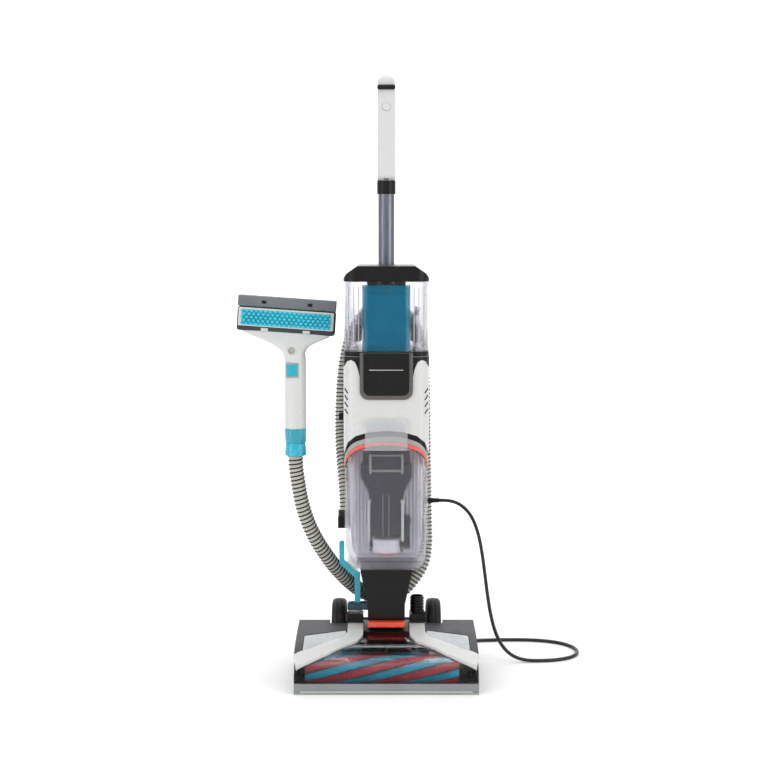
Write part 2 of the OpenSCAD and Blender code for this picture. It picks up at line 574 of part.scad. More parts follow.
// Hand tool, its face towards -Y
module at_tool() translate([tool_x, tool_y, tool_z]) children();
module at_head() translate([tool_x - 15.5, tool_y, tool_z + 271]) rotate([0, tool_tilt, 0]) children();
module hand_tool() difference() {
    union() {
        at_tool() {
            color("#14a5bd") cylinder(r = hose_r + 5.5, h = 53);
            color("#dededc") translate([0, 0, 53]) cylinder(r = tool_r, h = 146);
        }
        color("#dededc") hull() {
            at_tool() translate([0, 0, 190]) cylinder(r = tool_r, h = 2, $fn = 32);
            at_head() translate([-31, -7, -55]) cube([62, 27, 4]);
        }
        color("#dededc") at_head() along_y(-8, 22) offset(4, $fn = 32) offset(-4) polygon([
            [-tool_w / 2 + 6, -30], [-tool_w / 2 + 10, -38], [-60, -47], [-34, -58], [34, -58], [60, -47],
            [tool_w / 2 - 10, -38], [tool_w / 2 - 6, -30]]);
        color("#3a3d40") at_head() translate([-tool_w / 2, -10, -34.6]) cube([tool_w, 34, 46.6]);
        color("#8a8f92") at_head() translate([-tool_w / 2, -10, 12]) cube([tool_w, 30, 21]);
        color("#dededc") at_head() translate([-tool_w / 2 + 3, -14, -25]) cube([tool_w - 6, 4.2, 35]);
    }
    at_tool() block([-15 - part_gap, 6 + part_gap], [-tool_r - 5, -tool_r + 12],
        [155 - part_gap, 178 + part_gap]);
    at_head() block([-tool_w / 2 + 6, tool_w / 2 - 6], [-2, 8], [16, 45]);
}
brush_rows = 5;
brush_columns = 19;
module tool_brush() color("#25b4ca") at_head() for (r = [0 : brush_rows - 1]) for (c = [0 : brush_columns - 1])
    translate([(c - (brush_columns - 1) / 2 + (r % 2) * 0.5 - 0.25) * (tool_w - 16) / brush_columns, -14,
        -20 + r * 6.2]) rotate([90, 0, 0]) cylinder(r = 2.1, h = 7, $fn = 16);
module tool_button() color("#25b4ca") at_tool() block([-15, 6], [-tool_r - 2, -tool_r + 8], [155, 178]);

// Small tool stored beside the neck, and the holder that it lifts out of
stored_y = [35, 43];
module tool_holder() color("#12262c", 0.8) difference() {
    block([-76, -36.2], [stored_y[0] - 5, stored_y[1] + 5], [108, 122]);
    block([-62 - part_gap, -51 + part_gap], [stored_y[0] - part_gap, stored_y[1] + part_gap], [111, 130]);
}
module detail_tool() color("#14a5bd") along_y(stored_y[0], stored_y[1]) offset(3, $fn = 32) offset(-3)
    polygon([[-62, 112], [-62, 172], [-92, 200], [-92, 244], [-82, 244], [-82, 206], [-51, 180], [-51, 112]]);

chassis();
front_lip();
left_cover();
right_cover();
cover_windows();
left_arm();
right_arm();
hinge_covers();
hinge_pin();
wheel_axle();
brush_motor();
drive_belt();
spray_bar();
brush_bearings();
base_screws();
cord_run();
cord_coil();
suction_bellows();
power_plug();
hood();
brush_core();
teal_bristles();
red_bristles();
motor_pulley();
release_button();
left_wheel();
right_wheel();
neck();
spine();
casing();
badge();
tank_tray();
mast();
top_cap();
suction_motor();
motor_fan();
water_pump();
control_board();
cord_gland();
hose_port();
hose_clips();
carried_hose();
free_hose();
pole();
collar();
grip();
trigger();
power_button();
cord_hook();
clean_tank();
solution_tank();
dirty_tank();
tank_lid();
inlet_duct();
tank_latch();
hand_tool();
tool_brush();
tool_button();
tool_holder();
detail_tool();
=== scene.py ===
import json
import math

import bmesh
import bpy
import numpy as np
from mathutils import Matrix, Vector

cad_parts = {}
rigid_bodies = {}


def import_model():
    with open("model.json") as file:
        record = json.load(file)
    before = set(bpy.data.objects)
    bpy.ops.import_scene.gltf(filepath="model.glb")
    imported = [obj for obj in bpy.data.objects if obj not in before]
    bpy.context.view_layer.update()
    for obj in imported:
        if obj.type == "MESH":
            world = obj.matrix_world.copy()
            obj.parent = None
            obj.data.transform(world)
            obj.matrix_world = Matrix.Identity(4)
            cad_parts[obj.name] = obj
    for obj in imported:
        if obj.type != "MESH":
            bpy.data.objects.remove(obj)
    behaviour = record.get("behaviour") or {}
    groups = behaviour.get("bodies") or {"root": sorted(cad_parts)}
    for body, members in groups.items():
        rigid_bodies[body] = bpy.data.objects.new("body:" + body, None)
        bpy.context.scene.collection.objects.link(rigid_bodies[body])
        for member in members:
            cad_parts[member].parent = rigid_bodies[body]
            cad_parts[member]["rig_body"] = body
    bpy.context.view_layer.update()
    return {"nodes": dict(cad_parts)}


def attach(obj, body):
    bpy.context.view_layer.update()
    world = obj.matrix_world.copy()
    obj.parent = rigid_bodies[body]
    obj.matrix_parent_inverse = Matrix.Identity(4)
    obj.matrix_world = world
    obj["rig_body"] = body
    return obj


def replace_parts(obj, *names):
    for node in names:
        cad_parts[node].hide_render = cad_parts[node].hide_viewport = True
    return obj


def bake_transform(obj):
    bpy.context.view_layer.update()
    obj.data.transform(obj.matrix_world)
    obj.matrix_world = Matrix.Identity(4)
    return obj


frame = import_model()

MM = 0.001
scene = bpy.context.scene
nodes = frame["nodes"]

# ---- Sizes shared with the CAD source, in millimetres ----
HEAD_X, LIP_Y, LIP_H = 170, -165, 20
BRUSH_Y, BRUSH_Z, CORE_R, BRUSH_R = -113, 31, 17, 27
ROLL_END, STRIP_L, STRIP_TWIST = 152, 288, 170
AXLE_Y, WHEEL_R, WHEEL_IN, WHEEL_W = 90, 58, 79, 29
BODY_X, BODY_FRONT, BODY_ROUND, TANK_BACK = 81, -45, 28, 52
DIRTY_Z, ARCH_Z, CASING_TOP = 205, 430, 612
GRIP_X = 17.5
TOOL_AT, HEAD_AT, HEAD_TILT = (-175, 20, 416), (-190.5, 20, 687), 3.9
TOOL_W, TOOL_R, HOSE_R, CORD_R = 188, 21, 15, 3.5
RIB_PITCH, RIB_R = 7.7, 1.25

CARRIED_ROUTE = [[-80, 130, 288.2], [-80, 130, 294], [-81, 133, 320], [-84, 142, 360], [-88, 156, 405], [-90, 167,
    450],
    [-89, 168, 500], [-86, 168, 550], [-79, 168, 600], [-66, 168, 645], [-44, 168, 678], [-15, 168, 693],
    [15, 168, 692], [42, 168, 676], [61, 168, 645], [70, 168, 605], [74, 168, 550], [75, 168, 490],
    [76, 168, 430], [77, 166, 370], [78, 160, 310], [79, 150, 255], [79, 138, 215], [72, 124, 180],
    [54, 113, 152], [34, 106, 131], [10, 102, 120], [-14, 101, 117]]
FREE_ROUTE = [[-14.2, 101, 117], [-17.2, 100.9, 116.6], [-32, 98, 121], [-48, 91, 131], [-63, 81, 144], [-78, 70,
    160],
    [-93, 59, 179], [-108, 48, 200], [-122, 38, 223], [-136, 30, 248], [-148, 25, 274], [-158, 22, 302],
    [-165, 20, 330], [-170, 20, 359], [-174, 20, 388], [-175, 20, 404], [-175, 20, 415.8]]
CORD_ROUTE = [[104, 90, 315], [120, 90, 315], [136, 90, 312], [152, 89, 303], [166, 87, 288],
    [177, 84, 266], [185, 80, 238], [191, 75, 204], [196, 70, 165], [201, 64, 126], [207, 58, 90],
    [216, 52, 57], [230, 47, 30], [250, 43, 12], [275, 41, 4.5], [302, 41, 3.5], [330, 45, 3.5],
    [357, 57, 3.5], [377, 78, 3.5], [385, 106, 3.5], [380, 136, 3.5], [362, 162, 3.5], [334, 180, 3.5],
    [298, 189, 3.5], [256, 191, 3.5], [210, 188, 3.5], [160, 181, 3.5], [110, 173, 3.5], [60, 166, 3.5],
    [4, 163.4, 3.5]]
TAIL_ROUTE = [[-66.7, 228, 10], [-68, 244, 9], [-74, 258, 7], [-86, 266, 6], [-99, 262, 6],
    [-107, 250, 7], [-110, 234, 9], [-110, 212, 10]]
COIL_AT, COIL_IN_R, COIL_STEP = (0, 230), 38.2, 7.15

# ---- Camera ----
camera = bpy.data.objects.new("camera", bpy.data.cameras.new("camera"))
scene.collection.objects.link(camera)
scene.camera = camera
camera.location = (0, -2.765, 0.8368)
camera.rotation_euler = (math.radians(90 - 5.735), 0, 0)
camera.data.sensor_width = 36
camera.data.lens = 68.56
camera.data.shift_x = -0.005
camera.data.clip_start = 0.05
camera.data.clip_end = 50


# ---- Shape helpers: plain meshes from points in millimetres ----
def smooth_path(points, step):
    """Even points, step apart, on one smooth line through the given points."""
    p = np.array(points, float)
    p = np.vstack([2 * p[0] - p[1], p, 2 * p[-1] - p[-2]])
    t = np.linspace(0, 1, 24, endpoint=False)[:, None]
    dense = []
    for a, b, c, d in zip(p, p[1:], p[2:], p[3:]):
        dense.append(0.5 * (2 * b + (c - a) * t + (2 * a - 5 * b + 4 * c - d) * t ** 2
                            + (3 * b - a - 3 * c + d) * t ** 3))
    dense = np.vstack(dense + [p[-2:-1]])
    run = np.concatenate([[0], np.cumsum(np.linalg.norm(np.diff(dense, axis=0), axis=1))])
    at = np.linspace(0, run[-1], max(2, int(round(run[-1] / step))) + 1)
    return np.stack([np.interp(at, run, dense[:, k]) for k in range(3)], axis=1)


def path_frames(path):
    """Two square directions at each point of a path, carried along it without twisting."""
    along = np.gradient(path, axis=0)
    along /= np.linalg.norm(along, axis=1)[:, None]
    up = np.array([0, 0, 1.0]) if abs(along[0][2]) < 0.9 else np.array([0, 1.0, 0])
    side = np.cross(along[0], up)
    sides = []
    for t in along:
        side = side - t * (side @ t)
        side /= np.linalg.norm(side)
        sides.append(side)
    sides = np.array(sides)
    return sides, np.cross(along, sides)


def tube_rings(path, radius, count):
    side, other = path_frames(path)
    radius = np.broadcast_to(radius, len(path))
    rings = []
    for i, p in enumerate(path):
        a = np.linspace(0, 2 * math.pi, count, endpoint=False)
        rings.append(p + radius[i] * (np.cos(a)[:, None] * side[i] + np.sin(a)[:, None] * other[i]))
    return rings


def lathe_rings(profile, axis, centre, count=64):
    """Rings round an axis from (distance along it, radius) pairs."""
    a = np.linspace(0, 2 * math.pi, count, endpoint=False)
    order = {"X": (1, 2, 0), "Y": (2, 0, 1), "Z": (0, 1, 2)}[axis]
    rings = []
    for along, radius in profile:
        ring = np.zeros((count, 3))
        ring[:, order[0]] = radius * np.cos(a)
        ring[:, order[1]] = radius * np.sin(a)
        ring[:, order[2]] = along
        rings.append(ring + np.array(centre, float))
    return rings


def loft(rings, loop=False):
    """Points and faces of a skin over rings; loop joins the last ring to the first, else both ends close."""
    count = len(rings[0])
    faces = []
    pairs = len(rings) if loop else len(rings) - 1
    for i in range(pairs):
        a, b = i * count, (i + 1) % len(rings) * count
        faces += [(a + k, a + (k + 1) % count, b + (k + 1) % count, b + k) for k in range(count)]
    if not loop:
        faces.append(tuple(range(count)))
        faces.append(tuple(range((len(rings) - 1) * count, len(rings) * count)))
    return np.vstack(rings), faces


def join(*shapes):
    points, faces, start = [], [], 0
    for p, f in shapes:
        points.append(p)
        faces += [tuple(i + start for i in face) for face in f]
        start += len(p)
    return np.vstack(points), faces


def rounded_box(low, high, radius, steps=3):
    """A box with rounded edges, as points and faces."""
    bm = bmesh.new()
    bmesh.ops.create_cube(bm, size=1)
    size = np.array(high, float) - np.array(low, float)
    middle = (np.array(high, float) + np.array(low, float)) / 2
    for v in bm.verts:
        v.co = Vector(np.array(v.co) * size + middle)
    if radius:
        bmesh.ops.bevel(bm, geom=list(bm.edges), offset=radius, segments=steps, profile=0.5, affect="EDGES")
    bm.verts.ensure_lookup_table()
    points = np.array([v.co for v in bm.verts])
    faces = [tuple(v.index for v in f.verts) for f in bm.faces]
    bm.free()
    return points, faces


def plate(outline, low, high, axis="Y"):
    """A flat outline given a thickness along an axis, as points and faces."""
    rings = []
    for at in (low, high):
        if axis == "Y":
            rings.append(np.array([[a, at, b] for a, b in outline], float))
        else:
            rings.append(np.array([[a, b, at] for a, b in outline], float))
    return loft(rings)


def placed(shape, at, tilt=0):
    """Moves a shape to a place, turned about Y by tilt degrees first."""
    turn = np.array(Matrix.Rotation(math.radians(tilt), 3, "Y"))
    return shape[0] @ turn.T + np.array(at, float), shape[1]


def new_object(name, shape):
    mesh = bpy.data.meshes.new(name)
    mesh.from_pydata((np.asarray(shape[0]) * MM).tolist(), [], shape[1])
    bm = bmesh.new()
    bm.from_mesh(mesh)
    bmesh.ops.remove_doubles(bm, verts=bm.verts, dist=1e-6)
    bmesh.ops.recalc_face_normals(bm, faces=bm.faces)
    bm.to_mesh(mesh)
    bm.free()
    obj = bpy.data.objects.new(name, mesh)
    scene.collection.objects.link(obj)
    return obj


def settle(obj):
    """Turns an object with live modifiers into a plain mesh."""
    mesh = bpy.data.meshes.new_from_object(obj.evaluated_get(bpy.context.evaluated_depsgraph_get()))
    obj.modifiers.clear()
    old, obj.data = obj.data, mesh
    mesh.name = obj.name
    bpy.data.meshes.remove(old)
    return obj


def bevelled(obj, width, steps=2, angle=35):
    bevel = obj.modifiers.new("edges", "BEVEL")
    bevel.width = width * MM
    bevel.segments = steps
    bevel.limit_method = "ANGLE"
    bevel.angle_limit = math.radians(angle)
    bevel.use_clamp_overlap = True
    obj.data.shade_smooth()
    weighted = obj.modifiers.new("shading", "WEIGHTED_NORMAL")
    weighted.weight = 60
    return settle(obj)


def made(obj, finish, body, replaces=(), sharp=None):
    """Gives a finished mesh its material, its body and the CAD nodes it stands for."""
    obj.data.materials.clear()
    obj.data.materials.append(FINISH[finish])
    if sharp is not None:
        obj.data.shade_smooth()
        obj.data.set_sharp_from_angle(angle=math.radians(sharp))
    if body:
        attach(obj, body)
    if replaces:
        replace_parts(obj, *replaces)
    return obj


def piece(name, shape, finish, body, replaces=(), sharp=None):
    """A new mesh from a shape, with the facts that made() takes after the object."""
    return made(new_object(name, shape), finish, body, replaces, sharp)


def softened(node, name, width, finish, slot, steps=2, angle=35):
    """A copy of a CAD node with its sharp edges rounded, standing for the node."""
    source = nodes[node]
    bm = bmesh.new()
    bm.from_mesh(source.data)
    bmesh.ops.remove_doubles(bm, verts=bm.verts, dist=2e-6)
    bmesh.ops.dissolve_limit(bm, angle_limit=math.radians(0.6), verts=bm.verts, edges=bm.edges)
    mesh = bpy.data.meshes.new(name)
    bm.to_mesh(mesh)
    bm.free()
    obj = bpy.data.objects.new(name, mesh)
    scene.collection.objects.link(obj)
    return made(bevelled(obj, width, steps, angle), finish, source["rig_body"], [node])


# ---- Shader groups ----
def link_all(tree, pairs):
    for a, b in pairs:
        tree.links.new(a, b)


def shader_group(name, inputs, outputs):
    tree = bpy.data.node_groups.new(name, "ShaderNodeTree")
    for label, kind, value in inputs:
        socket = tree.interface.new_socket(label, in_out="INPUT", socket_type=kind)
        if value is not None:
            socket.default_value = value
    for label, kind in outputs:
        tree.interface.new_socket(label, in_out="OUTPUT", socket_type=kind)
    return tree, tree.nodes.new("NodeGroupInput").outputs, tree.nodes.new("NodeGroupOutput").inputs


def maths(tree, operation, a, b=None):
    node = tree.nodes.new("ShaderNodeMath")
    node.operation = operation
    for socket, value in zip(node.inputs, (a, b)):
        if isinstance(value, bpy.types.NodeSocket):
            tree.links.new(value, socket)
        elif value is not None:
            socket.default_value = value
    return node.outputs[0]


def noise(tree, vector, scale, detail=3.0, rough=0.55):
    node = tree.nodes.new("ShaderNodeTexNoise")
    node.inputs["Detail"].default_value = detail
    node.inputs["Roughness"].default_value = rough
    tree.links.new(vector, node.inputs["Vector"])
    if isinstance(scale, bpy.types.NodeSocket):
        tree.links.new(scale, node.inputs["Scale"])
    else:
        node.inputs["Scale"].default_value = scale
    return node.outputs[0]


def blend_colours(tree, factor, a, b):
    node = tree.nodes.new("ShaderNodeMix")
    node.data_type = "RGBA"
    tree.links.new(factor, node.inputs[0])
    for socket, value in ((node.inputs[6], a), (node.inputs[7], b)):
        if isinstance(value, bpy.types.NodeSocket):
            tree.links.new(value, socket)
        else:
            socket.default_value = value
    return node.outputs[2]


def ramp(tree, value, low, high, start=0.0, end=1.0):
    node = tree.nodes.new("ShaderNodeMapRange")
    for label, v in (("From Min", low), ("From Max", high), ("To Min", start), ("To Max", end)):
        if isinstance(v, bpy.types.NodeSocket):
            tree.links.new(v, node.inputs[label])
        else:
            node.inputs[label].default_value = v
    tree.links.new(value, node.inputs["Value"])
    return node.outputs[0]


def make_moulded_group():
    """Moulded surface: fine grain as height, slow tone drift and rubbed patches as colour and roughness."""
    tree, given, out = shader_group("moulded_surface", [
        ("Vector", "NodeSocketVector", None), ("Colour", "NodeSocketColor", (0.8, 0.8, 0.8, 1)),
        ("Rubbed colour", "NodeSocketColor", (0.9, 0.9, 0.9, 1)), ("Grain scale", "NodeSocketFloat", 900.0),
        ("Drift scale", "NodeSocketFloat", 9.0), ("Roughness", "NodeSocketFloat", 0.4),
        ("Roughness spread", "NodeSocketFloat", 0.12)],
        [("Colour", "NodeSocketColor"), ("Roughness", "NodeSocketFloat"), ("Height", "NodeSocketFloat")])
    fine = noise(tree, given["Vector"], given["Grain scale"], 2.0)
    pits = tree.nodes.new("ShaderNodeTexVoronoi")
    link_all(tree, [(given["Vector"], pits.inputs["Vector"]),
                    (maths(tree, "MULTIPLY", given["Grain scale"], 0.6), pits.inputs["Scale"])])
    drift = noise(tree, given["Vector"], given["Drift scale"], 4.0)
    scuffs = noise(tree, given["Vector"], maths(tree, "MULTIPLY", given["Drift scale"], 7.0), 6.0, 0.7)
    rubbed = ramp(tree, maths(tree, "MULTIPLY", drift, scuffs), 0.22, 0.42)
    tone = blend_colours(tree, rubbed, given["Colour"], given["Rubbed colour"])
    half = maths(tree, "MULTIPLY", given["Roughness spread"], 0.5)
    rough = maths(tree, "ADD", ramp(tree, scuffs, 0.3, 0.7, maths(tree, "MULTIPLY", half, -1.0), half),
                  given["Roughness"])
    height = maths(tree, "ADD", maths(tree, "MULTIPLY", fine, 0.6), maths(tree, "MULTIPLY", pits.outputs[0], 0.4))
    link_all(tree, [(tone, out["Colour"]), (rough, out["Roughness"]), (height, out["Height"])])
    return tree


def make_drawn_group():
    """Drawn metal: fine lines along one way, with a slow change of tone and gloss."""
    tree, given, out = shader_group("drawn_metal", [
        ("Vector", "NodeSocketVector", None), ("Colour", "NodeSocketColor", (0.5, 0.5, 0.5, 1)),
        ("Line colour", "NodeSocketColor", (0.6, 0.6, 0.6, 1)), ("Along", "NodeSocketVector", (1, 1, 0.02)),
        ("Line scale", "NodeSocketFloat", 700.0), ("Roughness", "NodeSocketFloat", 0.3)],
        [("Colour", "NodeSocketColor"), ("Roughness", "NodeSocketFloat"), ("Height", "NodeSocketFloat")])
    stretch = tree.nodes.new("ShaderNodeVectorMath")
    stretch.operation = "MULTIPLY"
    link_all(tree, [(given["Vector"], stretch.inputs[0]), (given["Along"], stretch.inputs[1])])
    lines = noise(tree, stretch.outputs[0], given["Line scale"], 3.0)
    cloud = noise(tree, given["Vector"], 14.0, 4.0)
    tone = blend_colours(tree, ramp(tree, lines, 0.35, 0.65), given["Colour"], given["Line colour"])
    rough = maths(tree, "ADD", given["Roughness"], ramp(tree, cloud, 0.3, 0.7, -0.05, 0.08))
    link_all(tree, [(tone, out["Colour"]), (rough, out["Roughness"]), (lines, out["Height"])])
    return tree


def make_smear_group():
    """Handled clear surface: faint smears as roughness, small waves as height, and a slow tint drift."""
    tree, given, out = shader_group("handled_clear", [
        ("Vector", "NodeSocketVector", None), ("Tint", "NodeSocketColor", (1, 1, 1, 1)),
        ("Deep tint", "NodeSocketColor", (0.9, 0.9, 0.9, 1)), ("Smear scale", "NodeSocketFloat", 26.0),
        ("Roughness", "NodeSocketFloat", 0.04), ("Smear roughness", "NodeSocketFloat", 0.12)],
        [("Tint", "NodeSocketColor"), ("Roughness", "NodeSocketFloat"), ("Height", "NodeSocketFloat")])
    smears = ramp(tree, noise(tree, given["Vector"], given["Smear scale"], 6.0, 0.7), 0.5, 0.72)
    rough = ramp(tree, smears, 0.0, 1.0, given["Roughness"], given["Smear roughness"])
    drift = noise(tree, given["Vector"], 11.0, 2.0)
    tint = blend_colours(tree, ramp(tree, drift, 0.3, 0.7), given["Tint"], given["Deep tint"])
    link_all(tree, [(tint, out["Tint"]), (rough, out["Roughness"]), (drift, out["Height"])])
    return tree


MOULDED, DRAWN, CLEAR = make_moulded_group(), make_drawn_group(), make_smear_group()


def srgb(r, g, b, lift=1.0):
    """A colour as the shader takes it, from 0 to 255 values."""
    return tuple(min(1.0, ((c / 255 / 12.92) if c / 255 <= 0.04045 else ((c / 255 + 0.055) / 1.055) ** 2.4) * lift)
                 for c in (r, g, b)) + (1.0,)


def material(name, group, values, bump, distance, **fixed):
    """A material whose colour, roughness and bump come from a shader group, with fixed shader values."""
    mat = bpy.data.materials.new(name)
    mat.use_nodes = True
    tree = mat.node_tree
    shader = tree.nodes["Principled BSDF"]
    use = tree.nodes.new("ShaderNodeGroup")
    use.node_tree = group
    place = tree.nodes.new("ShaderNodeTexCoord")
    raised = tree.nodes.new("ShaderNodeBump")
    raised.inputs["Strength"].default_value = bump
    raised.inputs["Distance"].default_value = distance * MM
    for label, value in values.items():
        use.inputs[label].default_value = value
    link_all(tree, [(place.outputs["Object"], use.inputs["Vector"]), (use.outputs[0], shader.inputs["Base Color"]),
                    (use.outputs[1], shader.inputs["Roughness"]), (use.outputs[2], raised.inputs["Height"]),
                    (raised.outputs[0], shader.inputs["Normal"])])
    for label, value in fixed.items():
        shader.inputs[label.replace("_", " ")].default_value = value
    mat.diffuse_color = list(values.values())[0]
    return mat


def plastic(name, colour, rubbed, rough, grain, bump=0.12, spread=0.12, **fixed):
    return material(name, MOULDED, {"Colour": srgb(*colour), "Rubbed colour": srgb(*rubbed), "Grain scale": grain,
                                    "Roughness": rough, "Roughness spread": spread}, bump, 0.3, **fixed)


def metal(name, colour, lines, rough, along, bump=0.08):
    return material(name, DRAWN, {"Colour": srgb(*colour), "Line colour": srgb(*lines), "Along": along,
                                  "Roughness": rough}, bump, 0.2, Metallic=1.0)


def clear(name, tint, deep, rough, alpha, through=1.0, **fixed):
    return material(name, CLEAR, {"Tint": srgb(*tint), "Deep tint": srgb(*deep), "Roughness": rough}, 0.04, 2.0,
                    Transmission_Weight=through, Alpha=alpha, IOR=1.46, **fixed)


FINISH = {
    "white_plastic": plastic("white_shell", (208, 209, 207), (206, 207, 205), 0.3, 1300, 0.03, Coat_Weight=0.1),
    "black_plastic": plastic("black_moulding", (13, 12, 12), (21, 20, 19), 0.36, 1100, 0.08,
                             Specular_IOR_Level=0.28),
    "dark_grey_plastic": plastic("grained_grey", (60, 60, 63), (72, 72, 75), 0.52, 620, 0.3,
                                 Specular_IOR_Level=0.35),
    "light_grey_plastic": plastic("pale_grey", (150, 156, 148), (166, 172, 164), 0.36, 900, 0.08),
    "window": plastic("frosted_pane", (152, 158, 162), (170, 175, 180), 0.22, 700, 0.06, Coat_Weight=0.4),
    "clear_plastic": clear("clear_tank", (226, 226, 234), (212, 212, 224), 0.05, 0.42, 0.9,
                           Specular_IOR_Level=0.35),
    "clear_hood": clear("clear_hood", (232, 234, 240), (218, 220, 228), 0.03, 0.3, Specular_IOR_Level=0.3),
    "smoke_plastic": clear("smoked", (150, 154, 158), (134, 138, 142), 0.08, 0.92, 0.5),
    "blue_tint": clear("blue_tank", (24, 172, 208), (10, 146, 186), 0.05, 0.6, 0.7),
    "blue_core": plastic("blue_core", (0, 74, 108), (4, 88, 124), 0.3, 700, 0.05),
    "milky": clear("milky_tab", (236, 238, 240), (226, 229, 232), 0.12, 0.48, 0.5),
    "teal_smoke": clear("teal_smoke", (14, 68, 82), (8, 50, 62), 0.1, 0.96, 0.3),
    "tank_rib": plastic("tank_rib", (228, 228, 233), (216, 216, 223), 0.3, 900, 0.04),
    "teal_plastic": plastic("teal_gloss", (20, 165, 190), (48, 184, 205), 0.26, 1000, 0.05, Coat_Weight=0.3),
    "teal_clear": clear("teal_sleeve", (84, 202, 220), (60, 188, 210), 0.1, 0.94, 0.5),
    "red_plastic": plastic("red_gloss", (238, 60, 32), (246, 88, 58), 0.2, 900, 0.04, Coat_Weight=0.6),
    "red_seal": plastic("red_seal", (240, 88, 86), (248, 110, 104), 0.45, 800, 0.1),
    "navy_plastic": plastic("navy_duct", (11, 15, 26), (18, 23, 37), 0.36, 900, 0.06,
                            Specular_IOR_Level=0.3),
    "black_rubber": plastic("black_rubber", (15, 15, 16), (24, 24, 25), 0.55, 800, 0.12,
                            Specular_IOR_Level=0.35),
    "cord_rubber": plastic("cord_rubber", (18, 18, 19), (32, 32, 34), 0.42, 1500, 0.15),
    "hose": plastic("hose_film", (186, 184, 176), (168, 166, 158), 0.4, 900, 0.12, Coat_Weight=0.2),
    "hose_rib": plastic("hose_rib", (12, 12, 13), (22, 22, 23), 0.4, 1200, 0.1, Specular_IOR_Level=0.3),
    "teal_bristle": plastic("teal_filament", (6, 146, 172), (30, 170, 196), 0.5, 1500, 0.3),
    "cyan_bristle": plastic("cyan_filament", (40, 186, 208), (70, 204, 222), 0.5, 1500, 0.3),
    "red_bristle": plastic("red_filament", (172, 44, 52), (196, 66, 70), 0.5, 1500, 0.3),
    "pole_metal": metal("drawn_pole", (112, 114, 124), (132, 134, 144), 0.34, (1, 1, 0.02)),
    "steel": metal("turned_steel", (178, 180, 184), (202, 204, 208), 0.26, (0.02, 1, 1)),
    "silver": metal("silver_line", (196, 196, 198), (220, 220, 222), 0.2, (0.02, 1, 1)),
    "circuit_board": plastic("board_green", (24, 96, 52), (36, 116, 66), 0.4, 700, 0.15),
    "lip_plastic": clear("clear_lip", (196, 198, 200), (184, 187, 190), 0.2, 0.74, 0.5),
    "rail": plastic("smoked_rail", (84, 80, 77), (90, 86, 83), 0.32, 900, 0.03, Coat_Weight=0.1),
}


# ---- Geometry Nodes trees ----
def geometry_tree(name, inputs):
    tree = bpy.data.node_groups.new(name, "GeometryNodeTree")
    tree.interface.new_socket("Geometry", in_out="INPUT", socket_type="NodeSocketGeometry")
    tree.interface.new_socket("Geometry", in_out="OUTPUT", socket_type="NodeSocketGeometry")
    for label, kind in inputs:
        tree.interface.new_socket(label, in_out="INPUT", socket_type=kind)
    tree.interface.new_socket("Finish", in_out="INPUT", socket_type="NodeSocketMaterial")
    given = tree.nodes.new("NodeGroupInput").outputs
    realize = tree.nodes.new("GeometryNodeRealizeInstances")
    paint = tree.nodes.new("GeometryNodeSetMaterial")
    out = tree.nodes.new("NodeGroupOutput")
    link_all(tree, [(realize.outputs[0], paint.inputs["Geometry"]), (given["Finish"], paint.inputs["Material"]),
                    (paint.outputs[0], out.inputs[0])])
    return tree, given, realize.inputs[0]


def node(tree, kind, **settings):
    made_node = tree.nodes.new(kind)
    for label, value in settings.items():
        setattr(made_node, label, value)
    return made_node


def make_rib_tree():
    """A rib wound round a line at an even pitch."""
    tree, given, out = geometry_tree("wound_rib", [("Pitch", "NodeSocketFloat"), ("Winding radius",
        "NodeSocketFloat"),
                                                   ("Rib radius", "NodeSocketFloat")])
    line = node(tree, "GeometryNodeMeshToCurve")
    even = node(tree, "GeometryNodeResampleCurve", mode="LENGTH")
    tangent = node(tree, "GeometryNodeInputTangent")
    normal = node(tree, "GeometryNodeInputNormal")
    run = node(tree, "GeometryNodeSplineParameter")
    turn = node(tree, "ShaderNodeVectorRotate", rotation_type="AXIS_ANGLE")
    reach = node(tree, "ShaderNodeVectorMath", operation="SCALE")
    move = node(tree, "GeometryNodeSetPosition")
    ring = node(tree, "GeometryNodeCurvePrimitiveCircle")
    ring.inputs["Resolution"].default_value = 7
    skin = node(tree, "GeometryNodeCurveToMesh")
    smooth = node(tree, "GeometryNodeSetShadeSmooth")
    angle = maths(tree, "MULTIPLY", maths(tree, "DIVIDE", run.outputs["Length"], given["Pitch"]), 2 * math.pi)
    link_all(tree, [(given["Geometry"], line.inputs["Mesh"]), (line.outputs[0], even.inputs["Curve"]),
                    (maths(tree, "DIVIDE", given["Pitch"], 20.0), even.inputs["Length"]),
                    (normal.outputs[0], turn.inputs["Vector"]), (tangent.outputs[0], turn.inputs["Axis"]),
                    (angle, turn.inputs["Angle"]), (turn.outputs[0], reach.inputs[0]),
                    (given["Winding radius"], reach.inputs["Scale"]), (even.outputs[0], move.inputs["Geometry"]),
                    (reach.outputs[0], move.inputs["Offset"]), (move.outputs[0], skin.inputs["Curve"]),
                    (given["Rib radius"], ring.inputs["Radius"]), (ring.outputs[0], skin.inputs["Profile Curve"]),
                    (skin.outputs[0], smooth.inputs["Geometry"]), (smooth.outputs[0], out)])
    return tree


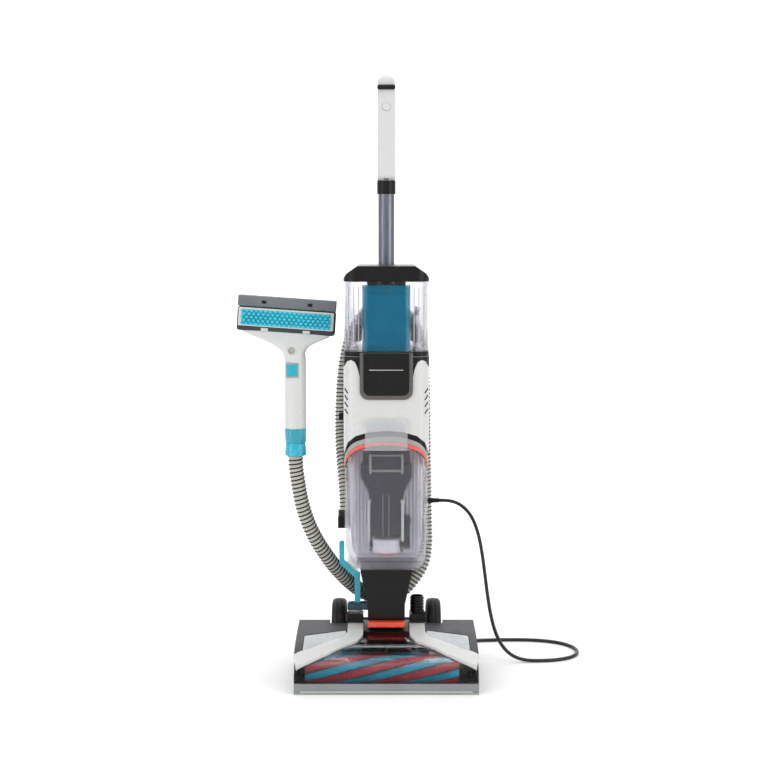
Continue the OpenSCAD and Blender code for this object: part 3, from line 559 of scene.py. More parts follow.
def make_tuft_tree():
    """A tapered tuft on each point, along its aim, leaning a little at random."""
    tree, given, out = geometry_tree("tufts", [("Length", "NodeSocketFloat"), ("Root radius", "NodeSocketFloat"),
                                               ("Tip radius", "NodeSocketFloat"), ("Lean", "NodeSocketFloat"),
                                               ("Seed", "NodeSocketInt")])
    aim = node(tree, "GeometryNodeInputNamedAttribute", data_type="FLOAT_VECTOR")
    aim.inputs["Name"].default_value = "aim"
    scatter = node(tree, "FunctionNodeRandomValue", data_type="FLOAT_VECTOR")
    scatter.inputs["Min"].default_value = (-1, -1, -1)
    scatter.inputs["Max"].default_value = (1, 1, 1)
    lean = node(tree, "ShaderNodeVectorMath", operation="SCALE")
    total = node(tree, "ShaderNodeVectorMath", operation="ADD")
    turn = node(tree, "FunctionNodeAlignRotationToVector", axis="Z")
    size = node(tree, "FunctionNodeRandomValue", data_type="FLOAT")
    size.inputs[2].default_value = 0.93
    size.inputs[3].default_value = 1.0
    tuft = node(tree, "GeometryNodeMeshCone")
    tuft.inputs["Vertices"].default_value = 6
    place = node(tree, "GeometryNodeInstanceOnPoints")
    link_all(tree, [(scatter.outputs[0], lean.inputs[0]), (given["Lean"], lean.inputs["Scale"]),
                    (aim.outputs[0], total.inputs[0]), (lean.outputs[0], total.inputs[1]),
                    (total.outputs[0], turn.inputs["Vector"]), (given["Seed"], scatter.inputs["Seed"]),
                    (given["Seed"], size.inputs["Seed"]), (given["Length"], tuft.inputs["Depth"]),
                    (given["Root radius"], tuft.inputs["Radius Bottom"]),
                    (given["Tip radius"], tuft.inputs["Radius Top"]), (given["Geometry"], place.inputs["Points"]),
                    (tuft.outputs["Mesh"], place.inputs["Instance"]), (turn.outputs[0], place.inputs["Rotation"]),
                    (size.outputs[1], place.inputs["Scale"]), (place.outputs[0], out)])
    return tree


def make_slat_tree():
    """A row of upright slats at an even pitch along X, centred on the first point."""
    tree, given, out = geometry_tree("slats", [("Count", "NodeSocketInt"), ("Pitch", "NodeSocketFloat"),
                                               ("Slat size", "NodeSocketVector")])
    row = node(tree, "GeometryNodeMeshLine")
    step = node(tree, "ShaderNodeCombineXYZ")
    slat = node(tree, "GeometryNodeMeshCube")
    spread = node(tree, "GeometryNodeInstanceOnPoints")
    place = node(tree, "GeometryNodeInstanceOnPoints")
    start = node(tree, "ShaderNodeCombineXYZ")
    gaps = maths(tree, "SUBTRACT", given["Count"], 1.0)
    back = maths(tree, "MULTIPLY", maths(tree, "MULTIPLY", gaps, given["Pitch"]), -0.5)
    link_all(tree, [(given["Pitch"], step.inputs[0]), (back, start.inputs[0]), (given["Count"], row.inputs["Count"]),
                    (start.outputs[0], row.inputs["Start Location"]), (step.outputs[0], row.inputs["Offset"]),
                    (given["Slat size"], slat.inputs["Size"]), (row.outputs[0], spread.inputs["Points"]),
                    (slat.outputs["Mesh"], spread.inputs["Instance"]), (given["Geometry"], place.inputs["Points"]),
                    (spread.outputs[0], place.inputs["Instance"]), (place.outputs[0], out)])
    return tree


def make_screw_tree():
    """A screw head with a cross recess on each point, along its aim."""
    tree, given, out = geometry_tree("screws", [("Head", "NodeSocketObject")])
    aim = node(tree, "GeometryNodeInputNamedAttribute", data_type="FLOAT_VECTOR")
    aim.inputs["Name"].default_value = "aim"
    turn = node(tree, "FunctionNodeAlignRotationToVector", axis="Z")
    head = node(tree, "GeometryNodeObjectInfo")
    place = node(tree, "GeometryNodeInstanceOnPoints")
    link_all(tree, [(given["Head"], head.inputs["Object"]), (head.outputs["Geometry"], place.inputs["Instance"]),
                    (given["Geometry"], place.inputs["Points"]), (aim.outputs[0], turn.inputs["Vector"]),
                    (turn.outputs[0], place.inputs["Rotation"]), (place.outputs[0], out)])
    return tree


RIBS, TUFTS, SLATS, SCREWS = make_rib_tree(), make_tuft_tree(), make_slat_tree(), make_screw_tree()


def grown(name, points, tree, values, finish, aims=None, edges=()):
    """Points or a line turned into a mesh by a Geometry Nodes tree."""
    mesh = bpy.data.meshes.new(name)
    mesh.from_pydata((np.asarray(points, float) * MM).tolist(), list(edges), [])
    if aims is not None:
        held = mesh.attributes.new("aim", "FLOAT_VECTOR", "POINT")
        held.data.foreach_set("vector", np.asarray(aims, np.float32).ravel())
    obj = bpy.data.objects.new(name, mesh)
    scene.collection.objects.link(obj)
    modifier = obj.modifiers.new("grown", "NODES")
    modifier.node_group = tree
    for item in tree.interface.items_tree:
        if item.in_out == "INPUT" and item.name in values:
            modifier[item.identifier] = values[item.name]
        elif item.in_out == "INPUT" and item.name == "Finish":
            modifier[item.identifier] = FINISH[finish]
    return settle(obj)


# ---- Cords and hoses ----
def tube(name, path, radius, sides, finish):
    obj = new_object(name, loft(tube_rings(path, radius, sides)))
    obj.data.materials.append(FINISH[finish])
    obj.data.shade_smooth()
    return obj


def wound_rib(name, path):
    line = [(i, i + 1) for i in range(len(path) - 1)]
    obj = grown(name, path, RIBS, {"Pitch": RIB_PITCH * MM, "Winding radius": (HOSE_R - RIB_R) * MM,
                                   "Rib radius": RIB_R * MM}, "hose_rib", edges=line)
    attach(obj, "upright")
    return obj


def hose_film(name, path, node_name):
    run = np.concatenate([[0], np.cumsum(np.linalg.norm(np.diff(path, axis=0), axis=1))])
    radius = HOSE_R - 1.8 + 0.4 * np.cos(2 * math.pi * run / RIB_PITCH)
    obj = tube(name, path, radius, 28, "hose")
    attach(obj, "upright")
    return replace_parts(obj, node_name)


carried_path = smooth_path(CARRIED_ROUTE, 1.9)
free_path = smooth_path(FREE_ROUTE, 1.9)
hose_film("hose_on_back", carried_path, "carried_hose")
wound_rib("hose_on_back_ribs", carried_path[::2])
front_hose = hose_film("hose_to_tool", free_path, "free_hose")
front_ribs = wound_rib("hose_to_tool_ribs", free_path[::2])


def coil_line():
    """Four flat layers of turns, in and out, and a last turn down the outside to the tail."""
    low, wide = COIL_IN_R, COIL_IN_R + 3 * COIL_STEP
    layer = [CORD_R + COIL_STEP * k for k in range(4)]
    marks = [(0.0, 66.6, layer[0]), (0.5, wide, layer[0]), (3.5, low, layer[0]), (3.75, low, layer[1]),
             (6.75, wide, layer[1]), (7.0, wide, layer[2]), (10.0, low, layer[2]), (10.25, low, layer[3]),
             (13.25, wide, layer[3]),
             (13.75, 64.5, 24.0), (14.0, 67.0, 17.6), (14.24, 66.8, 10.3)]
    turns = np.arange(0.06, 14.24, 1 / 36)
    at, radius, height = np.array(marks).T
    r, z = np.interp(turns, at, radius), np.interp(turns, at, height)
    a = -math.pi / 2 - 2 * math.pi * turns
    return np.stack([COIL_AT[0] + r * np.cos(a), COIL_AT[1] + r * np.sin(a), z], axis=1)


cord_path = np.vstack([smooth_path(CORD_ROUTE, 6.0)[:-1], coil_line(), smooth_path(TAIL_ROUTE, 4.0)])
for _ in range(3):
    cord_path[1:-1] = (cord_path[:-2] + 2 * cord_path[1:-1] + cord_path[2:]) / 4
power_cord = tube("power_cord", cord_path, CORD_R, 12, "cord_rubber")
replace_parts(power_cord, "cord_run", "cord_coil")
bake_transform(power_cord)


# ---- Cleaning head ----
for row in (
    ("chassis", "head_chassis", 0.8, "black_plastic", "black_plastic"),
    ("left_cover", "left_head_cover", 1.1, "dark_grey_plastic", "dark_grey_plastic"),
    ("right_cover", "right_head_cover", 1.1, "dark_grey_plastic", "dark_grey_plastic"),
    ("cover_windows", "head_cover_panes", 0.9, "window", "light_grey_plastic"),
    ("left_arm", "left_white_arm", 1.6, "white_plastic", "white_plastic", 3),
    ("right_arm", "right_white_arm", 1.6, "white_plastic", "white_plastic", 3),
    ("hinge_covers", "neck_shroud", 1.2, "black_plastic", "black_plastic"),
    ("hood", "clear_brush_hood", 0.7, "clear_hood", "clear_plastic"),
    ("release_button", "hood_release_paddle", 2.6, "red_plastic", "red_plastic", 4),
    ("brush_motor", "brush_motor_can", 1.0, "steel", "steel"),
    ("power_plug", "mains_plug", 1.0, "black_rubber", "black_rubber"),
):
    softened(*row)

lip = new_object("clear_suction_lip", join(
    rounded_box((-HEAD_X, LIP_Y + 0.6, 3.2), (HEAD_X, LIP_Y + 3.8, LIP_H), 0.9, 2)))
made(lip, "lip_plastic", "base", ["front_lip"], 30)
sill = new_object("suction_lip_sill", rounded_box((-HEAD_X, LIP_Y, 0), (HEAD_X, LIP_Y + 5.6, 3), 0.8, 2))
made(sill, "light_grey_plastic", "base", sharp=30)
line = rounded_box((-158, LIP_Y, 4.4), (158, LIP_Y + 1.2, 6.2), 0.55, 3)
piece("suction_lip_line", line, "white_plastic", "base", sharp=40)
lip_ribs = grown("suction_lip_ribs", [(0, LIP_Y + 6.3, 9.6)], SLATS,
                 {"Count": 8, "Pitch": 37 * MM, "Slat size": (2.0 * MM, 4.4 * MM, 13 * MM)}, "white_plastic")
made(lip_ribs, "white_plastic", "base")
cells = new_object("lip_end_cells", join(*[rounded_box((s * 152 - 15, LIP_Y + 4.4, 3.6),
                                                       (s * 152 + 15, LIP_Y + 8.6, 18), 0.8, 2) for s in (-1, 1)]))
made(cells, "dark_grey_plastic", "base", sharp=30)


def roll_points(first, rows, pitch):
    """Roots and aims of tufts in five twisted strips round the brush roll."""
    roots, aims = [], []
    steps = int(STRIP_L / pitch)
    for strip in range(5):
        for row in rows:
            for i in range(steps):
                along = (i + 0.5 + 0.5 * (abs(row) == 5.5)) * STRIP_L / (steps + 1)
                a = math.radians(first + 72 * strip + row - STRIP_TWIST * along / STRIP_L)
                aim = (0.0, math.sin(a), -math.cos(a))
                roots.append((-ROLL_END + 1 + along, BRUSH_Y + CORE_R * aim[1], BRUSH_Z + CORE_R * aim[2]))
                aims.append(aim)
    return roots, aims


for label, first, finish in (("teal_bristle", 0, "teal_bristles"), ("red_bristle", 36, "red_bristles")):
    roots, aims = roll_points(first, (-11, -5.5, 0, 5.5, 11), 3.3)
    tufts = grown(label + "_tufts", roots, TUFTS, {"Length": (BRUSH_R - CORE_R) * MM, "Root radius": 1.5 * MM,
                                                   "Tip radius": 1.75 * MM, "Lean": 0.05, "Seed": first + 3},
                  label, aims)
    made(tufts, label, "brush_roll", [finish])

for side, label in ((-1, "left"), (1, "right")):
    inner, outer = WHEEL_IN, WHEEL_IN + WHEEL_W
    tread = [(0, 5.1), (0, 9), (0, 22), (1.6, 24), (6, 26), (6, 43), (1.6, 45), (0, 47), (0, 50), (1.2, 53.6),
             (3.8, 56.4), (8, WHEEL_R - 0.4), (9.6, WHEEL_R), (10.2, WHEEL_R - 1), (11, WHEEL_R - 1), (11.6, WHEEL_R)]
    profile = tread + [(WHEEL_W - a, r) for a, r in reversed(tread)]
    wheel_x = inner if side > 0 else -outer
    rings = lathe_rings(profile, "X", (wheel_x, AXLE_Y, WHEEL_R), 96)
    wheel = new_object(label + "_rubber_wheel", loft(rings, loop=True))
    made(wheel, "black_rubber", label + "_wheel", [label + "_wheel"], 35)
    spokes = []
    for k in range(7):
        a = 2 * math.pi * k / 7
        spoke = rounded_box((-2.2, 22, 3.2), (2.2, 46, 6.4), 0.8, 2)
        turn = np.array([[math.cos(a), -math.sin(a), 0], [math.sin(a), math.cos(a), 0], [0, 0, 1]])
        p = spoke[0] @ turn.T
        face = outer - p[:, 2] + 1.2
        spokes.append((np.stack([side * face, AXLE_Y + p[:, 0], WHEEL_R + p[:, 1]], axis=1), spoke[1]))
    piece(label + "_wheel_spokes", join(*spokes), "dark_grey_plastic", label + "_wheel", sharp=30)

bellows = [(0, 9.5), (0, 12)]
for k in range(5):
    bellows += [(2 + 6 * k, 12), (2.7 + 6 * k, 14.2), (4.3 + 6 * k, 14.2), (5 + 6 * k, 12)]
bellows += [(32, 12), (32, 9.5)]
duct = new_object("corrugated_duct", loft(lathe_rings(bellows, "Z", (60, 36, 104), 48), loop=True))
made(duct, "black_plastic", "base", ["suction_bellows"], 40)


def screw_head():
    """One pan head with a cross recess, at the origin."""
    bm = bmesh.new()
    bmesh.ops.create_cone(bm, cap_ends=True, segments=20, radius1=3.6 * MM, radius2=3.0 * MM, depth=2.2 * MM)
    for v in bm.verts:
        v.co.z += 1.1 * MM
    for size in ((3.8, 0.9), (0.9, 3.8)):
        bmesh.ops.create_cube(bm, size=1, matrix=Matrix.Translation((0, 0, 2.25 * MM))
                              @ Matrix.Diagonal((size[0] * MM, size[1] * MM, 0.35 * MM, 1)))
    mesh = bpy.data.meshes.new("screw_head")
    bm.to_mesh(mesh)
    bm.free()
    obj = bpy.data.objects.new("screw_head", mesh)
    scene.collection.objects.link(obj)
    return obj


pattern = screw_head()
deck_screws = grown("deck_screws", [(x, 30, 4) for x in (-140, -70, 70, 140)], SCREWS, {"Head": pattern},
                    "steel", [(0, 0, 1)] * 4)
made(deck_screws, "steel", "base", ["base_screws"], 30)
casing_screws = grown("casing_screws", [(x, 149, z) for x in (-66, 66) for z in (DIRTY_Z + 40, CASING_TOP - 52)],
    SCREWS,
                      {"Head": pattern}, "steel", [(0, 1, 0)] * 4)
made(casing_screws, "steel", "upright", sharp=30)


# ---- Upright body ----
for row in (
    ("neck", "neck_housing", 3.0, "black_plastic", "black_plastic", 4),
    ("spine", "body_spine", 1.4, "black_plastic", "black_plastic", 3),
    ("casing", "white_casing", 1.6, "white_plastic", "white_plastic", 3, 40),
    ("tank_tray", "clean_tank_tray", 1.6, "black_plastic", "black_plastic", 3),
    ("mast", "pole_mast", 2.0, "black_plastic", "black_plastic", 3),
    ("top_cap", "top_cap_shell", 3.2, "black_plastic", "black_plastic", 4),
    ("hose_port", "hose_socket", 1.2, "black_plastic", "black_plastic"),
    ("hose_clips", "hose_clip_arms", 1.0, "black_plastic", "black_plastic"),
    ("collar", "pole_collar", 1.4, "black_plastic", "black_plastic", 3),
    ("grip", "grip_shell", 2.4, "white_plastic", "white_plastic", 4, 50),
    ("trigger", "grip_trigger", 1.0, "black_plastic", "black_plastic"),
    ("power_button", "power_key", 1.2, "white_plastic", "black_plastic", 3),
    ("cord_hook", "swivel_cord_hook", 1.6, "black_plastic", "black_plastic", 3),
    ("clean_tank", "clean_water_tank", 1.4, "clear_plastic", "clear_plastic", 3),
    ("solution_tank", "tinted_solution_tank", 2.2, "blue_tint", "blue_tint", 4),
    ("dirty_tank", "dirty_water_tank", 1.4, "clear_plastic", "clear_plastic", 3),
    ("inlet_duct", "float_and_duct", 1.6, "navy_plastic", "navy_plastic", 3),
    ("tank_latch", "clear_latch_tab", 0.9, "milky", "clear_plastic"),
    ("tool_button", "tool_spray_button", 1.6, "teal_plastic", "teal_plastic", 3),
    ("tool_holder", "stored_tool_holder", 1.2, "teal_smoke", "smoke_plastic"),
    ("detail_tool", "stored_detail_tool", 1.8, "teal_plastic", "teal_plastic", 3),
):
    softened(*row)

gland = [(60, 4), (60, 9), (67, 9), (68, 7.6)]
for k in range(6):
    gland += [(69.5 + 5 * k, 7.3 - 0.42 * k), (72.4 + 5 * k, 7.1 - 0.42 * k), (72.9 + 5 * k, 5.4 - 0.3 * k),
              (74 + 5 * k, 5.4 - 0.3 * k)]
gland += [(101, 4.9), (104, 4.6), (104, 3.4)]
boot = new_object("cord_strain_relief", loft(lathe_rings(gland, "X", (0, 90, 315), 32)))
made(boot, "black_rubber", "upright", ["cord_gland"], 35)

band = new_object("grip_band", rounded_box((-GRIP_X - 0.5, 107.6, 1121), (GRIP_X + 0.5, 152.4, 1130.5), 4.5, 4))
made(band, "black_plastic", "upright", sharp=35)


def arch_height(x, half):
    """Height of the arch between casing and dirty tank above its springing, at x."""
    shape = [(0, 42), (0.2, 41.4), (0.4, 39.5), (0.56, 36.4), (0.72, 32), (0.82, 26.5), (0.9, 19), (0.96, 8), (1, -5)]
    return np.interp(abs(x) / half, *np.array(shape).T)


def arch_strip(name, drop, depth, inset, finish, body, replaces=(), proud=0.0):
    """A band that follows the arch, from the body's rounded front to the tank's back."""
    half = BODY_X - inset
    rings = []
    for x in np.sin(np.linspace(-1, 1, 81) * math.pi / 2) * half * 0.999:
        top = ARCH_Z + arch_height(x, half) - drop
        corner = max(0.0, abs(x) - (BODY_X - BODY_ROUND - inset * 0.5))
        front = BODY_FRONT - proud + BODY_ROUND - math.sqrt(max(0, BODY_ROUND ** 2 - corner ** 2))
        rings.append(np.array([(x, front, top), (x, TANK_BACK, top), (x, TANK_BACK, top - depth),
                               (x, front, top - depth)], float))
    obj = new_object(name, loft(rings))
    bevel = obj.modifiers.new("edges", "BEVEL")
    bevel.width, bevel.segments, bevel.angle_limit = 1.2 * MM, 3, math.radians(50)
    return made(settle(obj), finish, body, replaces, 50)


arch_strip("pale_tank_lid", 10.8, 9.2, 0.8, "light_grey_plastic", "dirty_tank",
           ["tank_lid"])
arch_strip("red_tank_seal", 20.5, 7.0, 0.8, "red_seal", "dirty_tank", (), 0.3)

# Badge: smoked side rails round a black plaque with a thin silver line
def u_outline(half, bottom, radius, top):
    """A flat-topped outline with rounded lower corners."""
    turn = np.linspace(0, math.pi / 2, 9)
    right = [(half - radius + radius * math.cos(a), bottom + radius - radius * math.sin(a)) for a in turn]
    return [(half, top)] + right + [(-x, z) for x, z in reversed(right)] + [(-half, top)]


back_plate = bevelled(new_object("badge_rails", plate(u_outline(50, 531, 17, 620), -49.4, -45)), 2.2, 4)
made(back_plate, "rail", "upright", ["badge"])
well = bevelled(new_object("badge_well", plate(u_outline(43, 539, 12, 619), -50.2, -49)), 0.5, 2)
made(well, "black_plastic", "upright")
made(bevelled(new_object("badge_plaque", plate(u_outline(36, 556, 8, 616), -51.2, -50)), 0.8, 3),
     "black_plastic", "upright")
piece("badge_silver_line", rounded_box((-32, -51.7, 586.6), (32, -51, 588.2), 0.3, 2),
     "silver", "upright", sharp=30)


def corner_point(turn, out):
    """A point on the body's front corner, out millimetres past it; turn is 0 in front and 90 at the side."""
    a = math.radians(turn)
    reach = BODY_ROUND + out
    return BODY_X - BODY_ROUND + reach * math.sin(a), BODY_FRONT + BODY_ROUND - reach * math.cos(a)


# Dark shoulders over the white lobes, and slanted slits in the front corners
shoulders, slits = [], []
lobe = ((50, 572), (52, 585), (58, 601), (66, 606), (74, 603), (79, 594), (82, 591))
for s in (-1, 1):
    rings = []
    for turn in (None, *range(0, 91, 6), 91):
        pair = []
        for out in (0.5, -0.6):
            if turn is None:
                x, y = 49.6, BODY_FRONT - out
            elif turn == 91:
                x, y = BODY_X + out, 60
            else:
                x, y = corner_point(turn, out)
            pair.append((x, y))
        low = np.interp(pair[0][0], *np.array(lobe).T)
        (x0, y0), (x1, y1) = pair
        rings.append(np.array([(s * x0, y0, low), (s * x0, y0, CASING_TOP - 0.4), (s * x1, y1, CASING_TOP - 0.4),
            (s * x1, y1, low)]))
    shoulders.append(loft(rings))
    x, y = corner_point(54, 0)
    for k in range(4):
        p = rounded_box((-6.5, -0.9, -1.3), (6.5, 0.5, 1.3), 0.5, 2)
        tilt = np.array(Matrix.Rotation(math.radians(-38 * s), 3, "Y"))
        aim = np.array(Matrix.Rotation(math.radians(54 * s), 3, "Z"))
        slits.append((p[0] @ tilt.T @ aim.T + np.array([s * x, y, 508 + 13 * k]), p[1]))
piece("tray_shoulders", join(*shoulders), "black_plastic", "upright", sharp=40)
piece("casing_slits", join(*slits), "black_plastic", "upright", sharp=40)

# Inside the tanks
ports = join(rounded_box((-61, 18, 636), (-47, 52, 670), 4), rounded_box((46, 18, 636), (61, 52, 670), 4))
piece("clean_tank_ports", ports, "black_plastic", "clean_tank", sharp=40)
elbow = smooth_path([(52, 35, 671), (53, 35, 680), (58, 35, 690), (61, 35, 702)], 1.5)
elbow_run = np.linspace(0, 10 * math.pi, len(elbow))
piece("clean_tank_elbow", loft(tube_rings(elbow, 5.2 + 0.8 * np.cos(elbow_run), 20)),
     "rail", "clean_tank", sharp=60)
filler = lathe_rings([(738, 12), (738, 15.6), (750.4, 15.6), (751.2, 14.6), (751.2, 5)], "Z", (0, 70, 0), 40)
piece("clean_tank_filler", loft(filler), "black_plastic", "clean_tank", sharp=40)
cap_rings = lathe_rings([(728, 6), (728, 8.8), (740, 8.8), (744.6, 8.8), (745, 8), (745, 3)], "Z", (0, -26.5, 0), 32)
piece("solution_filler", loft(cap_rings), "black_plastic", "solution_tank", sharp=40)
core = rounded_box((-35.5, -39, 629), (35.5, -10, 728), 7, 4)
piece("solution_core", core, "blue_core", "solution_tank", sharp=40)
ridges = [rounded_box((s * x - 0.9, y, 630), (s * x + 0.9, y + 3, 743), 0.8, 2) for s in (-1, 1)
          for x, y in ((52, -39), (61, -37.5), (71, -32.5))]
piece("clean_tank_ridges", join(*ridges), "tank_rib", "clean_tank", sharp=40)
side_wall = [(33, 222), (64, 222), (68, 240), (73, 330), (75, 420), (60, 428), (46, 430), (46, 400), (50, 398),
             (50, 369), (37, 343), (33, 327)]
inner_walls = [plate([(-58, 210), (58, 210), (63, 222), (-63, 222)], 43, 45.5)]
for s in (-1, 1):
    inner_walls.append(plate([(s * x, z) for x, z in side_wall], 43, 45.5))
    for x, low, high in ((40, 226, 330), (47, 226, 350), (54, 228, 424), (61, 228, 422), (67.5, 250, 418)):
        inner_walls.append(rounded_box((s * x - 1.5, 39.5, low), (s * x + 1.5, 43.4, high), 1.2, 2))
    inner_walls += [rounded_box((s * 57.5 - 7, 40.4, z), (s * 57.5 + 7, 43.2, z + 1.6), 0.6, 1)
                    for z in range(232, 352, 6)]
piece("tank_inner_walls", join(*inner_walls), "tank_rib", "dirty_tank", sharp=40)
well_pipe = join(rounded_box((33, -8, 238), (46, 5, 287), 3, 3), rounded_box((31.5, -9.5, 287), (47.5, 6.5, 297), 2,
    3))
piece("tank_float_pipe", well_pipe, "navy_plastic", "dirty_tank", sharp=40)
posts = []
for x in (-33.5, 31):
    posts.append(rounded_box((x - 2.6, -20, 255), (x + 2.6, -12, 332), 1.6, 3))
    posts.append(rounded_box((x - 4, -20.6, 330), (x + 4, -11, 335), 1.4, 3))
piece("float_posts", join(*posts), "white_plastic", "dirty_tank", sharp=40)
ring = [(232, 21), (232, 26), (234, 27.4), (240, 25.4), (250, 25.4), (256, 27.4), (258, 26), (258, 21)]
piece("float_ring", loft(lathe_rings(ring, "Z", (0, 2, 0), 56), loop=True), "tank_rib",
     "dirty_tank", sharp=40)
# Painted glint: this red ring under the float collar stands in for a red glint, and takes the red seal colour.
glint = [(228, 10), (228, 18), (231, 19.4), (234, 18), (234, 10)]
piece("float_seal", loft(lathe_rings(glint, "Z", (0, 2, 0), 48), loop=True), "red_seal",
     "dirty_tank", sharp=40)
bars = [rounded_box((-33, -21, 390), (33, -18.6, 393.4), 1, 2), rounded_box((-28, -21, 420), (28, -18.6, 422.6), 1,
    2)]
bars += [rounded_box((x - 2.4, -21, 386), (x + 2.4, -18.6, 424), 1, 2) for x in (-30.5, 30.5)]
bars += [rounded_box((x - 0.6, -20.4, 264), (x + 0.6, -17.8, 346), 0.5, 2) for x in (-6.5, 5)]
piece("duct_frame", join(*bars), "light_grey_plastic", "dirty_tank", sharp=40)


# ---- Hand tool ----
def at_tool(shape):
    return placed(shape, TOOL_AT)


def at_head(shape):
    return placed(shape, HEAD_AT, HEAD_TILT)


cuff = [(0.4, 15.4), (0.4, 19.6), (1.6, 20.5), (8, 20.4), (22, 19.4), (24, 18.8), (25, 18.2), (25, 15.4)]
tool_cuff = piece("tool_cuff", at_tool(loft(lathe_rings(cuff, "Z", (0, 0, 0), 56), loop=True)),
                 "teal_plastic", "upright", sharp=35)
sleeve = [(25, 14), (25, 19.4), (27, 20.4), (44, 20.8), (51, 20.8), (53, 20), (53, 14)]
tool_sleeve = piece("tool_sleeve", at_tool(loft(lathe_rings(sleeve, "Z", (0, 0, 0), 56), loop=True)),
                   "teal_clear", "upright", sharp=35)


# Funnel under the head: height, half width, half depth, centre across and back, squareness
FUNNEL = ((-72, 22, 20.4, 18, 0.6, 0.95), (-64, 28, 19, 14.5, 2, 0.75), (-57, 37, 17.6, 11, 3.6, 0.6),
          (-50, 52, 16.4, 7, 5.2, 0.48), (-44, 68, 15.6, 3.5, 6.4, 0.4), (-38, 82, 15, 1, 7, 0.34),
          (-32, 87, 15, 0, 7, 0.3))


def tool_handle_rings():
    rings = lathe_rings([(53, 8), (53, 19.8), (54.4, TOOL_R), (190, TOOL_R)], "Z", TOOL_AT, 64)
    a = np.linspace(0, 2 * math.pi, 64, endpoint=False)
    c, s = np.cos(a), np.sin(a)
    for z, wide, deep, across, back, power in FUNNEL:
        x = across + wide * np.sign(c) * np.abs(c) ** power
        y = back + deep * np.sign(s) * np.abs(s) ** power
        rings.append(placed((np.stack([x, y, np.full(64, float(z))], axis=1), []), HEAD_AT, HEAD_TILT)[0])
    return rings


tool_handle = piece("tool_handle", loft(tool_handle_rings()), "white_plastic", "upright", ["hand_tool"], 40)
half = TOOL_W / 2
tool_shell = new_object("tool_shell", at_head(rounded_box((-half, -10, -34.6), (half, 24, 11.6), 5, 4)))
made(tool_shell, "dark_grey_plastic", "upright", sharp=40)
window = join(rounded_box((-half, -10, 12), (half, -2.4, 33), 2.2, 3), rounded_box((-half, 8.4, 12), (half, 20, 33),
    2.2, 3),
              rounded_box((-half, -2.3, 12.2), (-half + 6, 8.3, 32.6), 1, 2),
              rounded_box((half - 6, -2.3, 12.2), (half, 8.3, 32.6), 1, 2))
marks = join(*[rounded_box((x - 4.5, -10.8, 19), (x + 4.5, -9.6, 25), 0.8, 2) for x in (-44, 44)])
piece("tool_band_marks", at_head(marks), "black_plastic", "upright", sharp=40)
clips = join(*[rounded_box((x - 7, -11.4, -33), (x + 7, -9.6, -27), 0.9, 2) for x in (-40, 40)])
piece("tool_plate_clips", at_head(clips), "white_plastic", "upright", sharp=40)
tool_window = piece("tool_window", at_head(window), "smoke_plastic", "upright", sharp=40)
frame_plate = at_head(join(rounded_box((-half + 3, -14, -25), (half - 3, -9.8, 10), 1.9, 3),
                           rounded_box((-half + 9, -14.8, 6.6), (half - 9, -13.8, 8), 0.3, 2)))
mat = at_head(rounded_box((-half + 9, -14.6, -22.6), (half - 9, -13.6, 5.6), 0.4, 2))
piece("tool_brush_mat", mat, "cyan_bristle", "upright", sharp=40)
tool_plate = piece("tool_plate", frame_plate, "white_plastic", "upright", sharp=40)
roots, aims = [], []
tilt = np.array(Matrix.Rotation(math.radians(HEAD_TILT), 3, "Y"))
for r in range(5):
    for c in range(19):
        x = (c - 9 + (r % 2) * 0.5 - 0.25) * (TOOL_W - 16) / 19
        roots.append(tilt @ np.array([x, -14, -20 + 6.2 * r]) + np.array(HEAD_AT))
        aims.append((0, -1, 0))
tool_tufts = grown("tool_tufts", roots, TUFTS, {"Length": 7 * MM, "Root radius": 2.5 * MM, "Tip radius": 3.0 * MM,
                                                "Lean": 0.03, "Seed": 11}, "cyan_bristle", aims)
made(tool_tufts, "cyan_bristle", "upright", ["tool_brush"])
trim = at_tool(rounded_box((-16.6, -22.2, 152), (7.6, -18, 181), 1.6, 3))
piece("tool_button_trim", trim, "light_grey_plastic", "upright", sharp=40)
pocket = loft(lathe_rings([(-20, 4), (-20, 6.6), (-21.6, 6.6), (-22, 6), (-22, 4.4), (-21, 4)], "Y",
                          (TOOL_AT[0] - 6, TOOL_AT[1], TOOL_AT[2] + 204), 28), loop=True)
piece("tool_screw_pocket", pocket, "light_grey_plastic", "upright", sharp=40)
bpy.data.objects.remove(pattern)

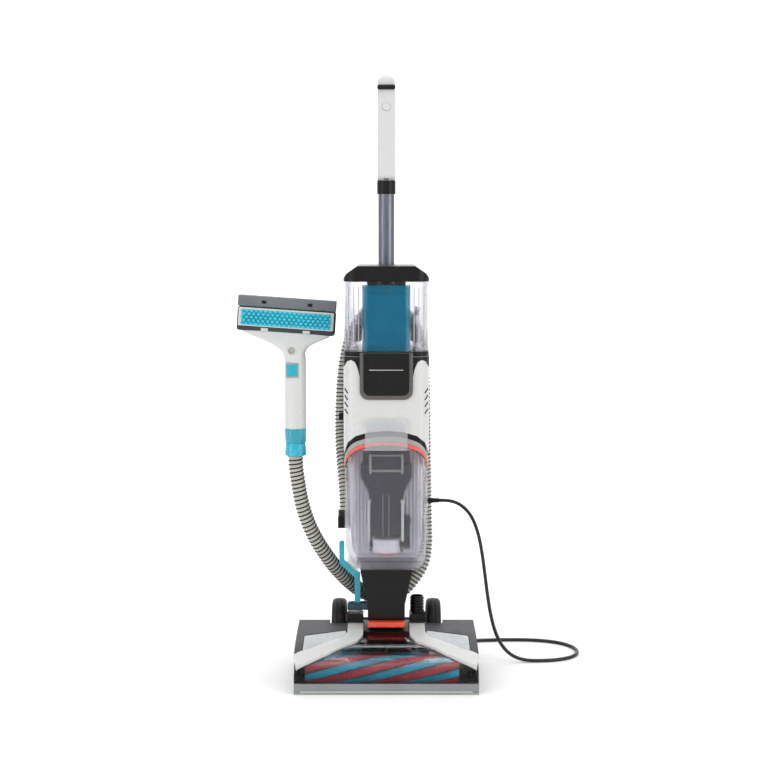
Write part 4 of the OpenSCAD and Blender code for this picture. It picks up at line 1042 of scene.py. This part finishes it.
# ---- Finishes of the CAD nodes that stay ----
KEPT = {"hinge_pin": "steel", "wheel_axle": "steel", "drive_belt": "black_rubber", "spray_bar": "steel",
        "brush_bearings": "black_plastic", "brush_core": "navy_plastic", "motor_pulley": "steel",
        "suction_motor": "steel", "motor_fan": "light_grey_plastic", "water_pump": "black_plastic",
        "control_board": "circuit_board", "pole": "pole_metal"}
for label, finish in KEPT.items():
    nodes[label].data.materials.clear()
    nodes[label].data.materials.append(FINISH[finish])


# ---- Floor and light ----
def studio_floor():
    bend = [(-4.0, 0.0), (2.2, 0.0)]
    bend += [(2.2 + 1.2 * math.sin(a), 1.2 - 1.2 * math.cos(a)) for a in np.linspace(0.1, math.pi / 2, 14)]
    bend += [(3.4, 5.0)]
    points = [(x, y, z) for y, z in bend for x in (-5.0, 5.0)]
    faces = [(2 * i, 2 * i + 1, 2 * i + 3, 2 * i + 2) for i in range(len(bend) - 1)]
    mesh = bpy.data.meshes.new("studio_floor")
    mesh.from_pydata(points, [], faces)
    mesh.shade_smooth()
    floor = bpy.data.objects.new("studio_floor", mesh)
    scene.collection.objects.link(floor)
    floor.data.materials.append(plastic("paper_floor", (246, 246, 246), (243, 243, 243), 0.8, 300, 0.02))


def area_light(name, place, aim, size, power, colour=(1, 1, 1)):
    light = bpy.data.lights.new(name, "AREA")
    light.shape = "RECTANGLE"
    light.size, light.size_y = size
    light.energy = power
    light.color = colour
    obj = bpy.data.objects.new(name, light)
    obj.location = place
    obj.rotation_euler = (Vector(aim) - Vector(place)).to_track_quat("-Z", "Y").to_euler()
    scene.collection.objects.link(obj)


studio_floor()
area_light("key", (-1.7, -2.4, 2.4), (0, 0, 0.6), (1.2, 1.6), 13)
area_light("fill", (2.1, -1.8, 1.2), (0, 0, 0.6), (0.8, 1.8), 5)
area_light("top", (0, -0.1, 3.0), (0, 0.3, 0), (2.6, 2.2), 20)
area_light("left_strip", (-1.2, -0.7, 0.8), (0, 0, 0.6), (0.16, 1.8), 4.5)
area_light("right_strip", (1.2, -0.7, 0.8), (0, 0, 0.6), (0.16, 1.8), 4.5)
area_light("wall_wash", (0, 1.4, 2.6), (0, 3.3, 0.9), (4.0, 0.8), 70)
world = bpy.data.worlds.new("soft_studio")
world.use_nodes = True
world.node_tree.nodes["Background"].inputs["Color"].default_value = (1, 1, 1, 1)
world.node_tree.nodes["Background"].inputs["Strength"].default_value = 0.74
scene.world = world
scene.view_settings.view_transform = "Standard"
